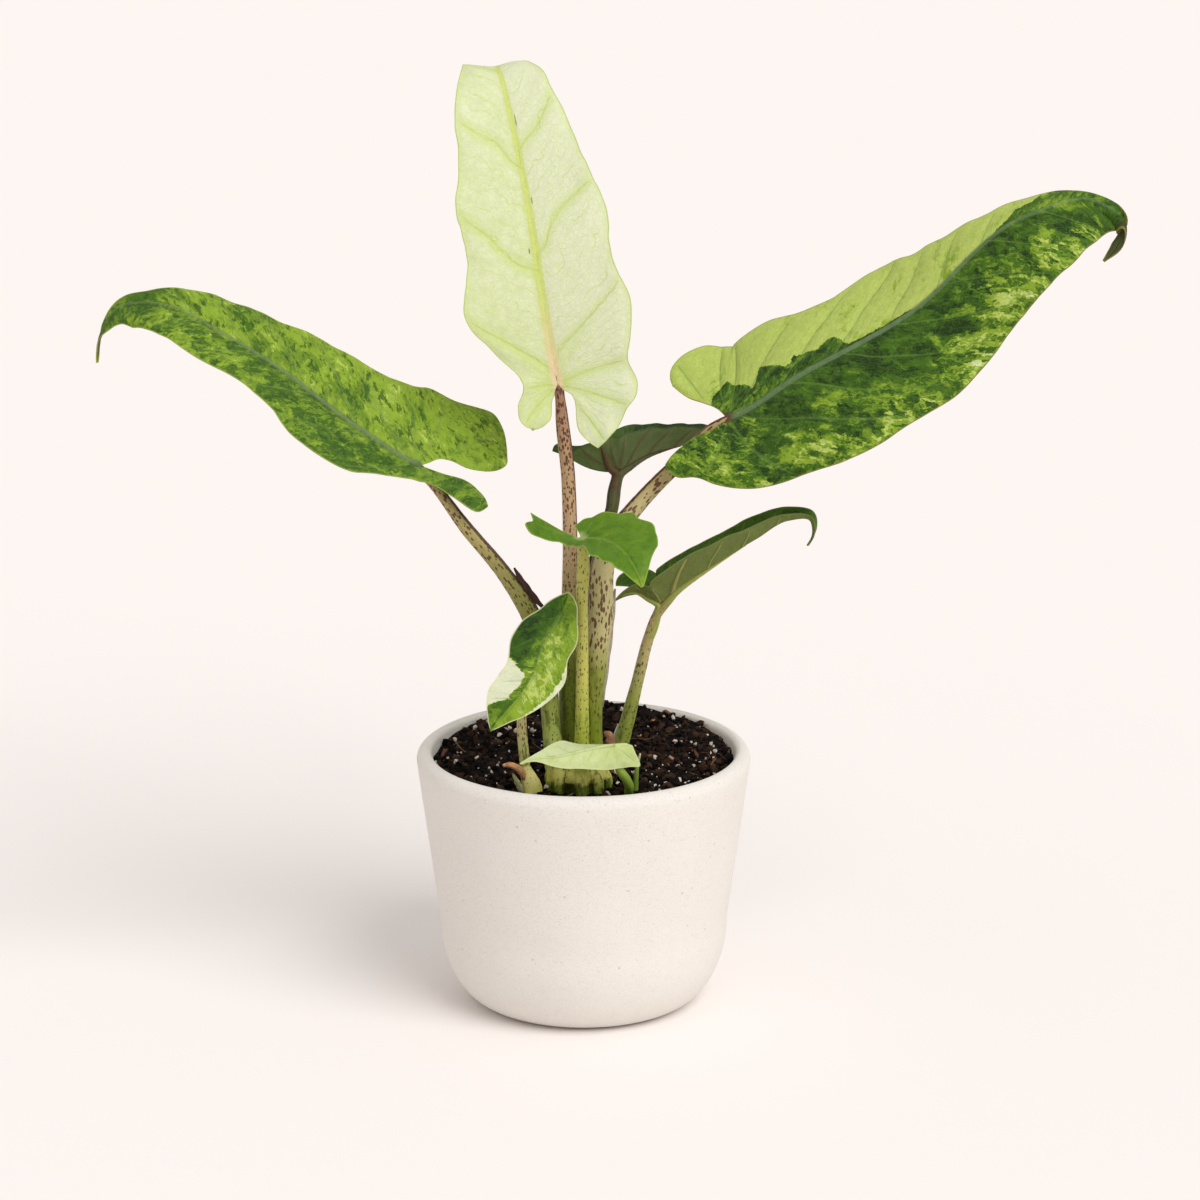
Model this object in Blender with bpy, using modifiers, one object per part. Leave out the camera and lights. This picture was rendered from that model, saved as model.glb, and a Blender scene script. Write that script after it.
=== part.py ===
"""A potted alocasia: a stoneware pot of soil, and a clump of eight leaves, each a blade on a stalk.

Lengths are in millimetres here and become metres when a mesh is made. The origin is the centre of the
pot's flat underside, +Z is up, and the plant's front faces -Y.
"""

import math

import bmesh
import bpy
import numpy as np

MM = 0.001
GAP = 0.3  # clearance between neighbouring solids

# Pot: a cup turned about Z, with a leaning wall and a wide rounded foot
POT_HEIGHT = 109.8
RIM_RADIUS = 70.2  # outside, where the rim's rounding ends
RIM_DROP = 4.5  # height of the rim's outer rounding
RIM_INNER_DROP = 2.5
WALL = 6.7
WALL_LEAN = 0.136  # how much the radius grows per millimetre of height
FOOT_ROUND_WIDTH = 21.0
FOOT_ROUND_HEIGHT = 36.0
FLOOR = 8.0
INNER_ROUND_WIDTH = 17.0  # the rounding between the floor and the wall, inside
INNER_ROUND_HEIGHT = 24.0
ROUND_POINTS = 6
TURN_STEPS = 56

# Soil: heaped towards the back
SOIL_LEVEL = 102.8  # at the middle of the pot
SOIL_SLOPE = 0.105  # rise per millimetre towards the back
SOIL_BUMP = 0.7
SOIL_BUMP_LENGTHS = (9.0, 11.0)
SOIL_RINGS = 6
PLANTED = 8.0  # how far a stalk that stands in the soil goes down
HOLE_TOP = POT_HEIGHT + 10  # where the cutters for the soil's holes end
HOLE_STEPS = 16

# Rootstock: the buried crown that carries the main stalks
CROWN_CENTRE = (-3.0, -21.0)
CROWN_RADII = (14.6, 13.8)
CROWN_TOP = 98.5
CROWN_DEPTH = 34.0
CROWN_TAPER = [(1.0, 22.0), (0.8, 8.0), (0.45, 0.0)]  # share of the radius, height above the crown's foot
CROWN_STEPS = 24
STALK_FOOT = CROWN_TOP + 0.5

BLADE_THICKNESS = 0.8
BLADE_COLUMNS = 3  # from the midrib to the margin
FORWARD_REACH = 8.0  # a blade's cross-sections face along its spine averaged over this far each way
SINUS_SHARE = 0.3  # share of a blade's rows that lie beside the notch between its lobes
FLAT_TIP_SHARE = 0.15  # share of a blade's length in which its fold opens flat towards the tip
STALK_SPACING = 9.0  # between a stalk's rings
STALK_SIDES_RESOLUTION = 2
MERGE = 0.01  # vertices this close become one

# Each stalk is (x, y, z, radius) from its foot to its top.
# Each blade has a spine that starts in the notch: its second point is where the stalk meets the blade,
# and its last is the tip. "up" gives the directions that the upper side faces along the spine. "lift" is
# how far the left and right halves rise from the spine at the base, then at the tip, in degrees.
# "left" and "right" are seen from above with the tip ahead. They hold the notch's edge, from the stalk to
# the end of the lobe, and then the margin to the tip, as (out, along) with the stalk's end at (0, 0).
LEAVES = {
    "pale_leaf": {
        "colour": (0.62, 0.72, 0.42),
        "stalk": [(-3.8, -19.5, STALK_FOOT, 4.2), (-4.2, -19.3, 108, 4.0), (-6.4, -18, 132, 3.6),
                  (-6.4, -16, 157, 3.3), (-5.5, -13, 198, 3.0), (-6.3, -10, 231, 2.8),
                  (-8.7, -8.5, 254, 2.6), (-9.6, -9.0, 264.0, 2.0)],
        "spine": [(-3, -16, 242), (-10, -8, 267), (-16, -4, 300), (-22, 6, 338), (-29, 20, 371),
                  (-35, 36, 391), (-40, 58, 385), (-42, 68, 375)],
        "up": [(0, -1, 0.15), (0, -1, 0.2), (0, -0.8, 0.6), (0, 0.2, 1)],
        "lift": [(8, 8), (8, 8)],
        "left": ([(0, 0), (3, -3), (7, -12), (14, -14)],
                 [(14, -14), (19, -10), (18, -4), (14, 4), (23, 19), (33, 36), (28, 56), (30, 82),
                  (25, 98), (23, 118), (16, 137), (9, 156), (0.5, 174)]),
        "right": ([(0, 0), (4, -3), (4, -20), (9, -28)],
                  [(9, -28), (18, -24), (25, -16), (32, -9), (31, 7), (36, 31), (31, 52), (31, 72),
                   (26, 92), (22, 112), (16, 132), (8, 156), (0.5, 174)]),
        "rows": 26,
    },
    "right_leaf": {
        "colour": (0.1, 0.24, 0.05),
        "stalk": [(5.5, -22.5, STALK_FOOT, 4.7), (5.2, -22.3, 108, 4.4), (3.8, -21, 131, 4.2),
                  (5.4, -20, 155, 4.6), (7.2, -18, 173, 5.0), (8.1, -15, 194, 4.8),
                  (11.4, -12, 204, 4.3), (19.2, -6, 213, 3.6), (29.2, 0, 223, 3.2), (39, 2, 232.4, 3.0),
                  (55.2, -0.7, 249.6, 2.1)],
        "spine": [(35, 8, 251), (59, -2, 253), (89, -6, 272), (133, -4, 297), (181, 2, 337),
                  (209, 4, 343), (220, -4, 335), (212, -10, 321)],
        "up": [(-0.36, -0.555, 0.75), (-0.36, -0.555, 0.75)],
        "lift": [(-5, -5), (-15, -15)],
        "left": ([(0, 0), (6, -5), (10, -14), (12, -22), (16, -31)],
                 [(16, -31), (23, -35), (31, -34), (39, -28), (41, -10), (41, 14), (41, 33), (36, 45),
                  (35, 58), (37, 75), (36, 93), (28, 107), (21, 122), (14, 142), (12, 157), (8, 168),
                  (3.5, 178), (2, 196), (0.5, 211)]),
        "right": ([(0, 0), (4, -5), (8, -13), (15, -18), (22, -20)],
                  [(22, -20), (27, -15), (27, -10), (32, -3), (39, 8), (44, 21), (48, 34), (49, 48),
                   (47, 65), (46, 82), (43, 95), (39, 108), (37, 122), (37, 146), (30, 161), (21, 177),
                   (8, 192), (0.5, 211)]),
        "rows": 34,
    },
    "left_leaf": {
        "colour": (0.16, 0.32, 0.05),
        "stalk": [(-12, -25, STALK_FOOT, 4.5), (-12.4, -25, 108, 4.3), (-13.6, -25, 130, 3.7),
                  (-14.4, -25, 143, 3.8), (-16.7, -24, 160, 4.0), (-22.2, -22, 175.3, 4.0),
                  (-33.1, -20, 192.2, 3.1), (-48.1, -17, 210, 2.7), (-64, -14.2, 230.6, 2.0)],
        "spine": [(-43, -6, 229), (-67, -14, 236), (-93, -20, 254), (-125, -20, 279), (-148, -18, 293),
                  (-171, -16, 304), (-190, -16, 302), (-196, -18, 293), (-198, -20, 281)],
        "up": [(0.44, -0.41, 0.8), (0.44, -0.41, 0.8)],
        "lift": [(3, 8), (0, 0)],
        "left": ([(0, 0), (1, -10), (3, -20), (10, -25), (18, -26)],
                 [(18, -26), (21, -22), (14, -13), (10, -5), (11, 4), (20, 19), (29, 30), (32, 41),
                  (31, 53), (25, 66), (22, 78), (22, 95), (22, 112), (18, 127), (12, 142), (4, 155),
                  (0.5, 168)]),
        "right": ([(0, 0), (3, -4), (6.5, -9), (7, -14), (4, -22), (3, -29)],
                  [(3, -29), (5, -37), (11, -40), (24, -41), (33, -34), (39, -20), (43, -3), (38, 16),
                   (36, 27), (33, 47), (29, 65), (25, 81), (22, 97), (18, 111), (11, 125), (4, 138),
                   (1, 150), (0.5, 168)]),
        "rows": 30,
    },
    "rear_leaf": {
        "colour": (0.1, 0.17, 0.07),
        "stalk": [(3, -11.5, STALK_FOOT, 3.0), (3.6, -10.5, 134, 2.5), (2.7, -8.5, 160, 2.4),
                  (3.2, -6, 180.3, 2.3), (4.4, -3, 191.5, 2.3), (8.1, 3, 201.5, 2.4),
                  (11.9, 8, 211.8, 2.6), (12.9, 11.4, 218.6, 2.6), (13.9, 13.7, 225.1, 1.6)],
        "spine": [(-6, 5, 231), (14, 14, 226), (24, 22, 230), (41, 34, 232), (58, 46, 231),
                  (77, 58, 227)],
        "up": [(-0.2, 0.1, 1), (-0.1, 0.1, 1)],
        "lift": [(60, 60), (50, 50)],
        "left": ([(0, 0), (3, -3), (5, -12), (4, -22), (3, -30)],
                 [(3, -30), (6, -30), (10, -21), (15, -10), (16, 4), (15, 16), (12, 28), (10, 40),
                  (7, 56), (3, 68), (0.5, 78)]),
        "right": ([(0, 0), (1, -7), (2, -16), (3, -23)],
                  [(3, -23), (6, -24), (12, -21), (16, -15), (18, -6), (18, 6), (15, 15), (12, 23),
                   (11, 32), (9, 38), (7, 47), (4, 62), (0.5, 78)]),
        "rows": 20,
    },
    "marbled_leaf": {
        "colour": (0.45, 0.58, 0.22),
        "stalk": [(-24.2, -30, 112.2, 2.1), (-24.8, -30, 118.3, 2.1), (-25.4, -31, 132.5, 2.0),
                  (-22.4, -32, 148.4, 1.9), (-16.6, -34, 163.6, 1.8), (-11.2, -36, 175.2, 1.6),
                  (-9.6, -36.8, 177.8, 1.3)],
        "spine": [(-6, -36, 188), (-9, -38, 180), (-17, -43, 167), (-20, -46, 157), (-25, -48, 149),
                  (-32, -50, 141), (-38, -50, 133)],
        "up": [(0, -1, 0.2), (0, -1, 0.2)],
        "lift": [(5, 5), (5, 5)],
        "left": ([(0, 0), (1, -5), (3, -9)],
                 [(3, -9), (6, -3), (8, 2), (12, 9), (12, 19), (13, 27), (12, 31), (9, 39), (5, 48),
                  (0.5, 57)]),
        "right": ([(0, 0), (1, -4), (1, -8)],
                  [(1, -8), (5, -2), (9, 5), (12, 10), (13, 16), (12, 26), (12, 37), (11, 45), (8, 50),
                   (4, 54), (0.5, 57)]),
        "rows": 16,
    },
    "front_leaf": {
        "colour": (0.14, 0.38, 0.04),
        "stalk": [(-0.8, -29.2, STALK_FOOT, 3.8), (-0.6, -30, 122.6, 3.0), (-0.5, -31, 142.5, 2.6),
                  (-0.5, -32, 167.8, 2.5), (-0.5, -33, 184, 2.4), (-0.2, -34.8, 205, 2.2),
                  (-0.9, -36, 210.3, 1.5)],
        "spine": [(-13, -30, 217), (-1, -36, 211), (7, -42, 212), (14, -50, 211), (20, -58, 206),
                  (24, -62, 198)],
        "up": [(0.2, -0.45, 0.85), (0.4, -0.6, 0.5)],
        "lift": [(15, 15), (15, 15)],
        "left": ([(0, 0), (2, -2), (4, -6)],
                 [(4, -6), (9, -4), (13, 1), (16, 7), (16, 14), (18, 19), (16, 24), (15, 28), (9, 32),
                  (4, 38), (0.5, 42)]),
        "right": ([(0, 0), (1, -7), (3, -14), (5, -18), (7, -20)],
                  [(7, -20), (14, -19), (17, -17), (14, -11), (10, -2), (12, 8), (17, 19), (18, 26),
                   (15, 28), (10, 32), (5, 37), (0.5, 42)]),
        "rows": 18,
    },
    "low_leaf": {
        "colour": (0.16, 0.28, 0.09),
        "stalk": [(14.5, 0, SOIL_LEVEL - PLANTED, 3.2), (14.6, 0, 105, 3.2), (16.6, 0, 114.3, 3.1),
                  (19.1, -1, 124.8, 2.9), (22.2, -2, 137.8, 2.5), (27.3, -3, 159.1, 2.2),
                  (30.4, -3.5, 168.4, 1.9), (31.9, -3.9, 173.3, 1.4)],
        "spine": [(13, -2, 173), (22, -2, 176), (32, -4, 174), (37, -5, 179), (52, -6, 190),
                  (72, -7, 203), (85, -8, 211), (94, -9, 211), (95, -10, 207), (93, -10, 201)],
        "notch_points": 2,
        "up": [(-0.4, 0, 1), (-0.2, 0, 1), (1, 0, 0.5)],
        "lift": [(55, 55), (55, 55)],
        "left": ([(0, 0), (2, -3), (5, -13), (7, -17)],
                 [(7, -17), (11, -15), (13, -9), (13, 2), (12, 18), (10.5, 35), (9, 54), (6, 64),
                  (4, 71), (1, 77), (0.5, 85)]),
        "right": ([(0, 0), (2, -3), (2, -12), (1.5, -20)],
                  [(1.5, -20), (4, -17), (8, -12), (12, -4), (14, 10), (14, 24), (12.5, 38), (9.5, 51),
                   (5, 64), (2, 72), (0.5, 85)]),
        "rows": 24,
    },
    "cream_leaf": {
        "colour": (0.66, 0.76, 0.44),
        "stalk": [(18.8, -31, 99.5 - PLANTED, 1.9), (18.8, -31, 100, 1.9), (19.1, -35, 103.8, 1.9),
                  (17.6, -39, 108.6, 1.9), (15.3, -42, 113, 1.8), (13.4, -43.2, 117.8, 1.3)],
        "spine": [(24, -40, 118), (13, -45, 121), (4, -50, 124), (-5, -53, 124), (-12, -54, 123),
                  (-21, -54, 122), (-26, -54, 120)],
        "up": [(0, -0.6, 1), (0, -0.6, 1)],
        "lift": [(-50, -10), (-30, -10)],
        "left": ([(0, 0), (1.6, -2), (1.6, -9), (2, -13)],
                 [(2, -13), (5, -10), (6, -4), (6, 4), (6, 12), (5, 20), (3, 30), (0.5, 42)]),
        "right": ([(0, 0), (1.6, -2), (2, -8), (4, -12)],
                  [(4, -12), (9, -10), (10, -4), (8, 3), (6, 12), (8, 18), (9, 25), (6, 32), (3, 37),
                   (0.5, 42)]),
        "rows": 14,
    },
}

# Young shoots and dry scales, as tapering (x, y, z, radius) routes
SHOOTS = {
    "right_sprout": ((0.3, 0.45, 0.1),
                     [(21.8, -26.5, 92, 1.1), (21.8, -26.5, 100, 1.1), (22, -28, 107, 1.0),
                      (22.6, -29, 112, 0.7), (23.6, -29.5, 116.5, 0.35)]),
    "white_spear": ((0.75, 0.76, 0.66),
                    [(11.6, 6, 96, 1.1), (11.8, 6, 104, 1.1), (13, 5.5, 111, 1.0),
                     (13.8, 5.2, 115.4, 0.7), (14.6, 5, 118.5, 0.3)]),
}
SCALES = {
    "left_stalk_scale": ((0.22, 0.13, 0.08),
                         [(-28.4, -21.4, 194.4, 0.5), (-25.4, -22, 189.8, 0.8),
                          (-20.6, -22.6, 183.2, 0.9), (-16.2, -23, 177.6, 0.6)]),
    "right_stalk_sheath": ((0.35, 0.3, 0.22),
                           [(13.5, -16.8, 184, 0.5), (13.3, -17.8, 174, 0.8), (11.5, -19.4, 158, 0.9),
                            (10.2, -20, 146, 0.8), (9.2, -20.6, 137, 0.5)]),
    "brown_scale_left": ((0.45, 0.24, 0.12),
                         [(-33.2, -31.5, 113.2, 0.5), (-30.2, -31.8, 113.4, 0.9),
                          (-27.2, -31.6, 111.2, 1.0), (-25.3, -31, 107.4, 0.8)]),
    "brown_scale_right": ((0.32, 0.19, 0.12),
                          [(13.4, -16, 101.6, 0.8), (12.9, -16.6, 105, 1.1), (11.2, -17.4, 108.6, 1.1),
                           (9.7, -18.2, 110.2, 0.7)]),
    "green_scale": ((0.55, 0.62, 0.3),
                    [(-29.4, -33.8, 109.4, 0.4), (-28.0, -33.8, 106, 0.8), (-26.6, -33.4, 102.6, 0.9),
                     (-26.0, -33, 100.6, 0.7)]),
}
BULB_CENTRE = (-21.3, -29.6)
BULB_PROFILE = [(0, 111.4), (2.0, 111.4), (2.4, 109), (3.3, 105.6), (4.3, 102), (4.6, 98.6),
                (4.0, 95), (2.6, 92), (0, 91)]


def start_collections():
    """Clears the scene and returns the collections for the solids and for the cutters."""
    for obj in list(bpy.data.objects):
        bpy.data.objects.remove(obj, do_unlink=True)
    made = []
    for name in ("potted_alocasia", "cutters"):
        collection = bpy.data.collections.new(name)
        bpy.context.scene.collection.children.link(collection)
        made.append(collection)
    made[1].hide_render = True
    return made


def material(name, colour, roughness):
    made = bpy.data.materials.new(name)
    made.use_nodes = True
    shader = made.node_tree.nodes["Principled BSDF"]
    shader.inputs["Base Color"].default_value = (*colour, 1)
    shader.inputs["Roughness"].default_value = roughness
    shader.inputs["Metallic"].default_value = 0
    return made


def add_object(name, data, collection, finish=None):
    obj = bpy.data.objects.new(name, data)
    collection.objects.link(obj)
    if finish:
        data.materials.append(finish)
    return obj


def baked_mesh(obj):
    """Replaces the object's mesh with its evaluated one and drops its modifiers."""
    bpy.context.view_layer.update()
    mesh = bpy.data.meshes.new_from_object(obj.evaluated_get(bpy.context.evaluated_depsgraph_get()))
    obj.modifiers.clear()
    obj.data = mesh
    return mesh


def turned(name, profile, collection, finish=None, centre=(0, 0), scale=(1, 1), steps=TURN_STEPS):
    """A solid of revolution: profile is (radius, height) down the outer side."""
    mesh = bpy.data.meshes.new(name)
    points = [(radius * MM, 0, height * MM) for radius, height in profile]
    mesh.from_pydata(points, [(i, i + 1) for i in range(len(points) - 1)], [])
    obj = add_object(name, mesh, collection, finish)
    screw = obj.modifiers.new("Turn", "SCREW")
    screw.steps = screw.render_steps = steps
    screw.use_merge_vertices = True
    screw.merge_threshold = MERGE * MM
    baked_mesh(obj)
    for vertex in obj.data.vertices:
        vertex.co.x = vertex.co.x * scale[0] + centre[0] * MM
        vertex.co.y = vertex.co.y * scale[1] + centre[1] * MM
    obj.data.shade_smooth()
    obj.data.set_sharp_from_angle(angle=math.radians(40))
    return obj


def arc(centre, radii, start, end, points):
    """Points of an ellipse's arc in a profile, with angles in degrees from the outward direction."""
    angles = np.radians(np.linspace(start, end, points))
    return [(centre[0] + radii[0] * math.cos(a), centre[1] + radii[1] * math.sin(a)) for a in angles]


def knots_of(points):
    steps = np.linalg.norm(np.diff(points[:, :3], axis=0), axis=1)
    return np.concatenate([[0], np.cumsum(steps)])


def curve_at(points, distance):
    """Reads a smooth curve at distances along its points' chords. It runs on straight past its ends."""
    points = np.asarray(points, float)
    knots = knots_of(points)
    slopes = np.diff(points, axis=0) / np.diff(knots)[:, None]
    tangents = np.empty_like(points)
    before, after = np.diff(knots)[:-1, None], np.diff(knots)[1:, None]
    tangents[1:-1] = (slopes[:-1] * after + slopes[1:] * before) / (before + after)
    tangents[0] = 2 * slopes[0] - tangents[1] if len(points) > 2 else slopes[0]
    tangents[-1] = 2 * slopes[-1] - tangents[-2] if len(points) > 2 else slopes[0]
    distance = np.asarray(distance, float)
    inside = np.clip(distance, 0, knots[-1])
    i = np.clip(np.searchsorted(knots, inside, side="right") - 1, 0, len(points) - 2)
    span = (knots[i + 1] - knots[i])[..., None]
    t = (inside - knots[i])[..., None] / span
    found = (2 * t**3 - 3 * t**2 + 1) * points[i] + (3 * t**2 - 2 * t**3) * points[i + 1]
    found += span * ((t**3 - 2 * t**2 + t) * tangents[i] + (t**3 - t**2) * tangents[i + 1])
    found += np.minimum(distance, 0)[..., None] * tangents[0]
    found += np.maximum(distance - knots[-1], 0)[..., None] * tangents[-1]
    return found


def along(points, shares):
    """Points of the smooth curve at shares of its length, from 0 to 1."""
    return curve_at(points, np.asarray(shares) * knots_of(np.asarray(points, float))[-1])


def unit(vectors):
    return vectors / np.linalg.norm(vectors, axis=-1, keepdims=True)


def blade_points(leaf, out, ahead):
    """Bends flat blade coordinates to space. out is negative on the left half."""
    spine = np.asarray(leaf["spine"], float)
    knots = knots_of(spine)
    start = knots[leaf.get("notch_points", 1)]
    length = knots[-1] - start
    middle = curve_at(spine, ahead + start)
    before, after = (curve_at(spine, ahead + start + reach) for reach in (-FORWARD_REACH, FORWARD_REACH))
    forward = unit(after - before)
    facing = np.asarray(leaf["up"], float)
    place = np.clip((ahead + start) / knots[-1], 0, 1) * (len(facing) - 1)
    first = np.clip(place.astype(int), 0, len(facing) - 2)
    share = (place - first)[..., None]
    up = facing[first] * (1 - share) + facing[first + 1] * share
    up = unit(up - (up * forward).sum(-1, keepdims=True) * forward)
    right = np.cross(forward, up)
    lift = np.radians(leaf["lift"])[:, (out > 0).astype(int)]
    towards_tip = np.clip(ahead / length, 0, 1)
    angle = lift[0] * (1 - towards_tip) + lift[1] * towards_tip
    angle *= np.clip((1 - towards_tip) / FLAT_TIP_SHARE, 0, 1)
    return middle + (out * np.cos(angle))[..., None] * right + (np.abs(out) * np.sin(angle))[..., None] * up


def blade_length(leaf):
    knots = knots_of(np.asarray(leaf["spine"], float))
    return knots[-1] - knots[leaf.get("notch_points", 1)]


def flat_half(leaf, side, row, column):
    """Flat coordinates of one half. row runs from the lobe's end to the tip, column to the margin."""
    notch, margin = (np.asarray(points, float) for points in leaf[side])
    shares = np.linspace(0, 1, 200)
    shoulder = shares[np.flatnonzero(along(margin, shares)[:, 1] < 0)[-1]]
    beside_notch = row < SINUS_SHARE
    low = np.clip(row / SINUS_SHARE, 0, 1)
    high = np.clip((row - SINUS_SHARE) / (1 - SINUS_SHARE), 0, 1)
    midrib = np.stack([0 * high, high * blade_length(leaf)], axis=-1)
    inner = np.where(beside_notch[:, None], along(notch, 1 - low), midrib)
    outer = along(margin, np.where(beside_notch, low * shoulder, shoulder + high * (1 - shoulder)))
    return inner + (outer - inner) * column[:, None]


def blade(name, leaf, collection):
    """A thin curved blade: two lofted halves that meet along the midrib, given a thickness."""
    shape = bmesh.new()
    for side, sign in (("left", -1), ("right", 1)):
        made = bmesh.ops.create_grid(shape, x_segments=leaf["rows"], y_segments=BLADE_COLUMNS, size=1)
        grid = made["verts"]
        places = (np.array([vertex.co[:2] for vertex in grid]) + 1) / 2
        flat = flat_half(leaf, side, places[:, 0], places[:, 1])
        for vertex, point in zip(grid, blade_points(leaf, sign * flat[:, 0], flat[:, 1])):
            vertex.co = point * MM
    bmesh.ops.remove_doubles(shape, verts=shape.verts, dist=MERGE * MM)
    bmesh.ops.recalc_face_normals(shape, faces=shape.faces)
    mesh = bpy.data.meshes.new(name)
    shape.to_mesh(mesh)
    shape.free()
    mesh.shade_smooth()
    obj = add_object(name, mesh, collection, material(name, leaf["colour"], 0.45))
    solidify = obj.modifiers.new("Thickness", "SOLIDIFY")
    solidify.thickness = BLADE_THICKNESS * MM
    solidify.offset = 0
    return obj


def tube(name, route, collection, finish):
    """A round tapering stem along a smooth curve through (x, y, z, radius) points."""
    route = np.asarray(route, float)
    count = max(5, round(knots_of(route)[-1] / STALK_SPACING) + 1)
    points = along(route, np.linspace(0, 1, count))
    curve = bpy.data.curves.new(name, "CURVE")
    curve.dimensions = "3D"
    curve.bevel_depth = MM
    curve.bevel_resolution = STALK_SIDES_RESOLUTION
    curve.use_fill_caps = True
    spline = curve.splines.new("POLY")
    spline.points.add(len(points) - 1)
    for point, (x, y, z, radius) in zip(spline.points, points):
        point.co = (x * MM, y * MM, z * MM, 1)
        point.radius = radius
    return add_object(name, curve, collection, finish)


def soil_height(x, y):
    bump = math.sin(x / SOIL_BUMP_LENGTHS[0]) * math.cos(y / SOIL_BUMP_LENGTHS[1])
    return SOIL_LEVEL + SOIL_SLOPE * y + SOIL_BUMP * bump


def wall_radius(height):
    """Outer radius of the pot's straight wall."""
    return RIM_RADIUS - WALL_LEAN * (POT_HEIGHT - RIM_DROP - height)


def inner_radius(height):
    """Inner radius of the pot, above the floor's rounding."""
    return wall_radius(height) - WALL


def pot_profiles():
    """The pot's (radius, height) profile from the inside out, and the line of its inside from the top."""
    foot = wall_radius(FOOT_ROUND_HEIGHT) - FOOT_ROUND_WIDTH
    shoulder = FLOOR + INNER_ROUND_HEIGHT
    corner = inner_radius(shoulder) - INNER_ROUND_WIDTH
    inside = arc((corner, shoulder), (INNER_ROUND_WIDTH, INNER_ROUND_HEIGHT), -90, 0, ROUND_POINTS)
    lip = POT_HEIGHT - RIM_INNER_DROP
    inner_lip = inner_radius(lip)
    outer_lip = wall_radius(POT_HEIGHT - RIM_DROP)
    rim_middle = inner_lip + RIM_INNER_DROP
    rim = arc((rim_middle, lip), (RIM_INNER_DROP, RIM_INNER_DROP), 180, 90, 4)
    rim += arc((outer_lip - RIM_DROP, POT_HEIGHT - RIM_DROP), (RIM_DROP, RIM_DROP), 90, 0, 5)
    foot_radii = (FOOT_ROUND_WIDTH, FOOT_ROUND_HEIGHT)
    outside = arc((foot, FOOT_ROUND_HEIGHT), foot_radii, 0, -90, ROUND_POINTS + 2)
    return [(0, FLOOR)] + inside + rim + outside + [(0, 0)], inside


def pot(collection):
    profile, _ = pot_profiles()
    return turned("pot", profile, collection, material("stoneware", (0.78, 0.72, 0.66), 0.8))


def soil(collection):
    """Fills the pot with a gap all round, with its top raised to the sloping surface."""
    _, inside = pot_profiles()
    edge = inner_radius(SOIL_LEVEL) - GAP
    rings = [(edge * i / SOIL_RINGS, SOIL_LEVEL) for i in range(SOIL_RINGS + 1)]
    wall = [(radius - GAP, height + GAP) for radius, height in reversed(inside)]
    profile = rings + wall + [(0, FLOOR + GAP)]
    obj = turned("soil", profile, collection, material("soil", (0.03, 0.02, 0.015), 0.95))
    for vertex in obj.data.vertices:
        if vertex.co.z > (SOIL_LEVEL - 1) * MM:
            x, y = vertex.co.x / MM, vertex.co.y / MM
            height = soil_height(x, y)
            reach = math.hypot(x, y)
            if reach > edge - 1:
                shrink = (inner_radius(height) - GAP) / reach
                vertex.co.x *= shrink
                vertex.co.y *= shrink
            vertex.co.z = height * MM
    return obj


def crown_profile(grow):
    """The rootstock's profile as shares of its radius, grown all round by a clearance."""
    foot = CROWN_TOP - CROWN_DEPTH - grow
    radius = CROWN_RADII[0]
    sides = [(share * radius + grow, foot + height) for share, height in CROWN_TAPER]
    return [(0, CROWN_TOP), (radius + grow, CROWN_TOP)] + sides + [(0, foot)]


def rootstock(collection):
    squash = (1, CROWN_RADII[1] / CROWN_RADII[0])
    return turned("rootstock", crown_profile(0), collection, material("rootstock", (0.30, 0.26, 0.14), 0.8),
                  CROWN_CENTRE, squash, CROWN_STEPS)


def cut(obj, cutter):
    boolean = obj.modifiers.new("Cut", "BOOLEAN")
    boolean.operation = "DIFFERENCE"
    boolean.solver = "EXACT"
    boolean.object = cutter
    cutter.hide_render = True
    cutter.display_type = "WIRE"


def planting_holes(soil_body, cutters):
    """Cuts the soil where the rootstock, the bulb, the planted stalks and the shoots stand in it."""
    profile = [(0, HOLE_TOP), (CROWN_RADII[0] + GAP, HOLE_TOP)] + crown_profile(GAP)[2:]
    squash = (1, (CROWN_RADII[1] + GAP) / (CROWN_RADII[0] + GAP))
    cut(soil_body, turned("crown_hole", profile, cutters, None, CROWN_CENTRE, squash, CROWN_STEPS))
    bulb_radius = max(radius for radius, _ in BULB_PROFILE) + GAP
    holes = {"bulb": (*BULB_CENTRE, bulb_radius, BULB_PROFILE[-1][1])}
    for name in ("low_leaf", "cream_leaf"):
        x, y, foot, radius = LEAVES[name]["stalk"][0]
        holes[name] = (x, y, radius + GAP, foot)
    for name, (_, route) in SHOOTS.items():
        x, y, foot, radius = route[0]
        holes[name] = (x, y, radius + GAP, foot)
    for name, (x, y, radius, foot) in holes.items():
        profile = [(0, HOLE_TOP), (radius, HOLE_TOP), (radius, foot - GAP), (0, foot - GAP)]
        cut(soil_body, turned(name + "_hole", profile, cutters, None, (x, y), steps=HOLE_STEPS))


def main():
    solids, cutters = start_collections()
    pot(solids)
    soil_body = soil(solids)
    rootstock(solids)
    planting_holes(soil_body, cutters)
    for name, leaf in LEAVES.items():
        blade(name + "_blade", leaf, solids)
        tube(name + "_stalk", leaf["stalk"], solids, material(name + "_stalk", (0.35, 0.38, 0.16), 0.5))
    turned("offset_bulb", BULB_PROFILE, solids, material("bulb", (0.36, 0.42, 0.16), 0.5),
           BULB_CENTRE, steps=HOLE_STEPS)
    for group in (SHOOTS, SCALES):
        for name, (colour, route) in group.items():
            tube(name, route, solids, material(name, colour, 0.6))


main()
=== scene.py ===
"""The looks of a potted alocasia: eight variegated leaves on speckled stalks in a pale stoneware pot.

Sizes are in millimetres here and become metres in the meshes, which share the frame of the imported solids:
the origin is the centre of the pot's flat underside, +Z is up, and the plant's front faces -Y.
"""

import math

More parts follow.
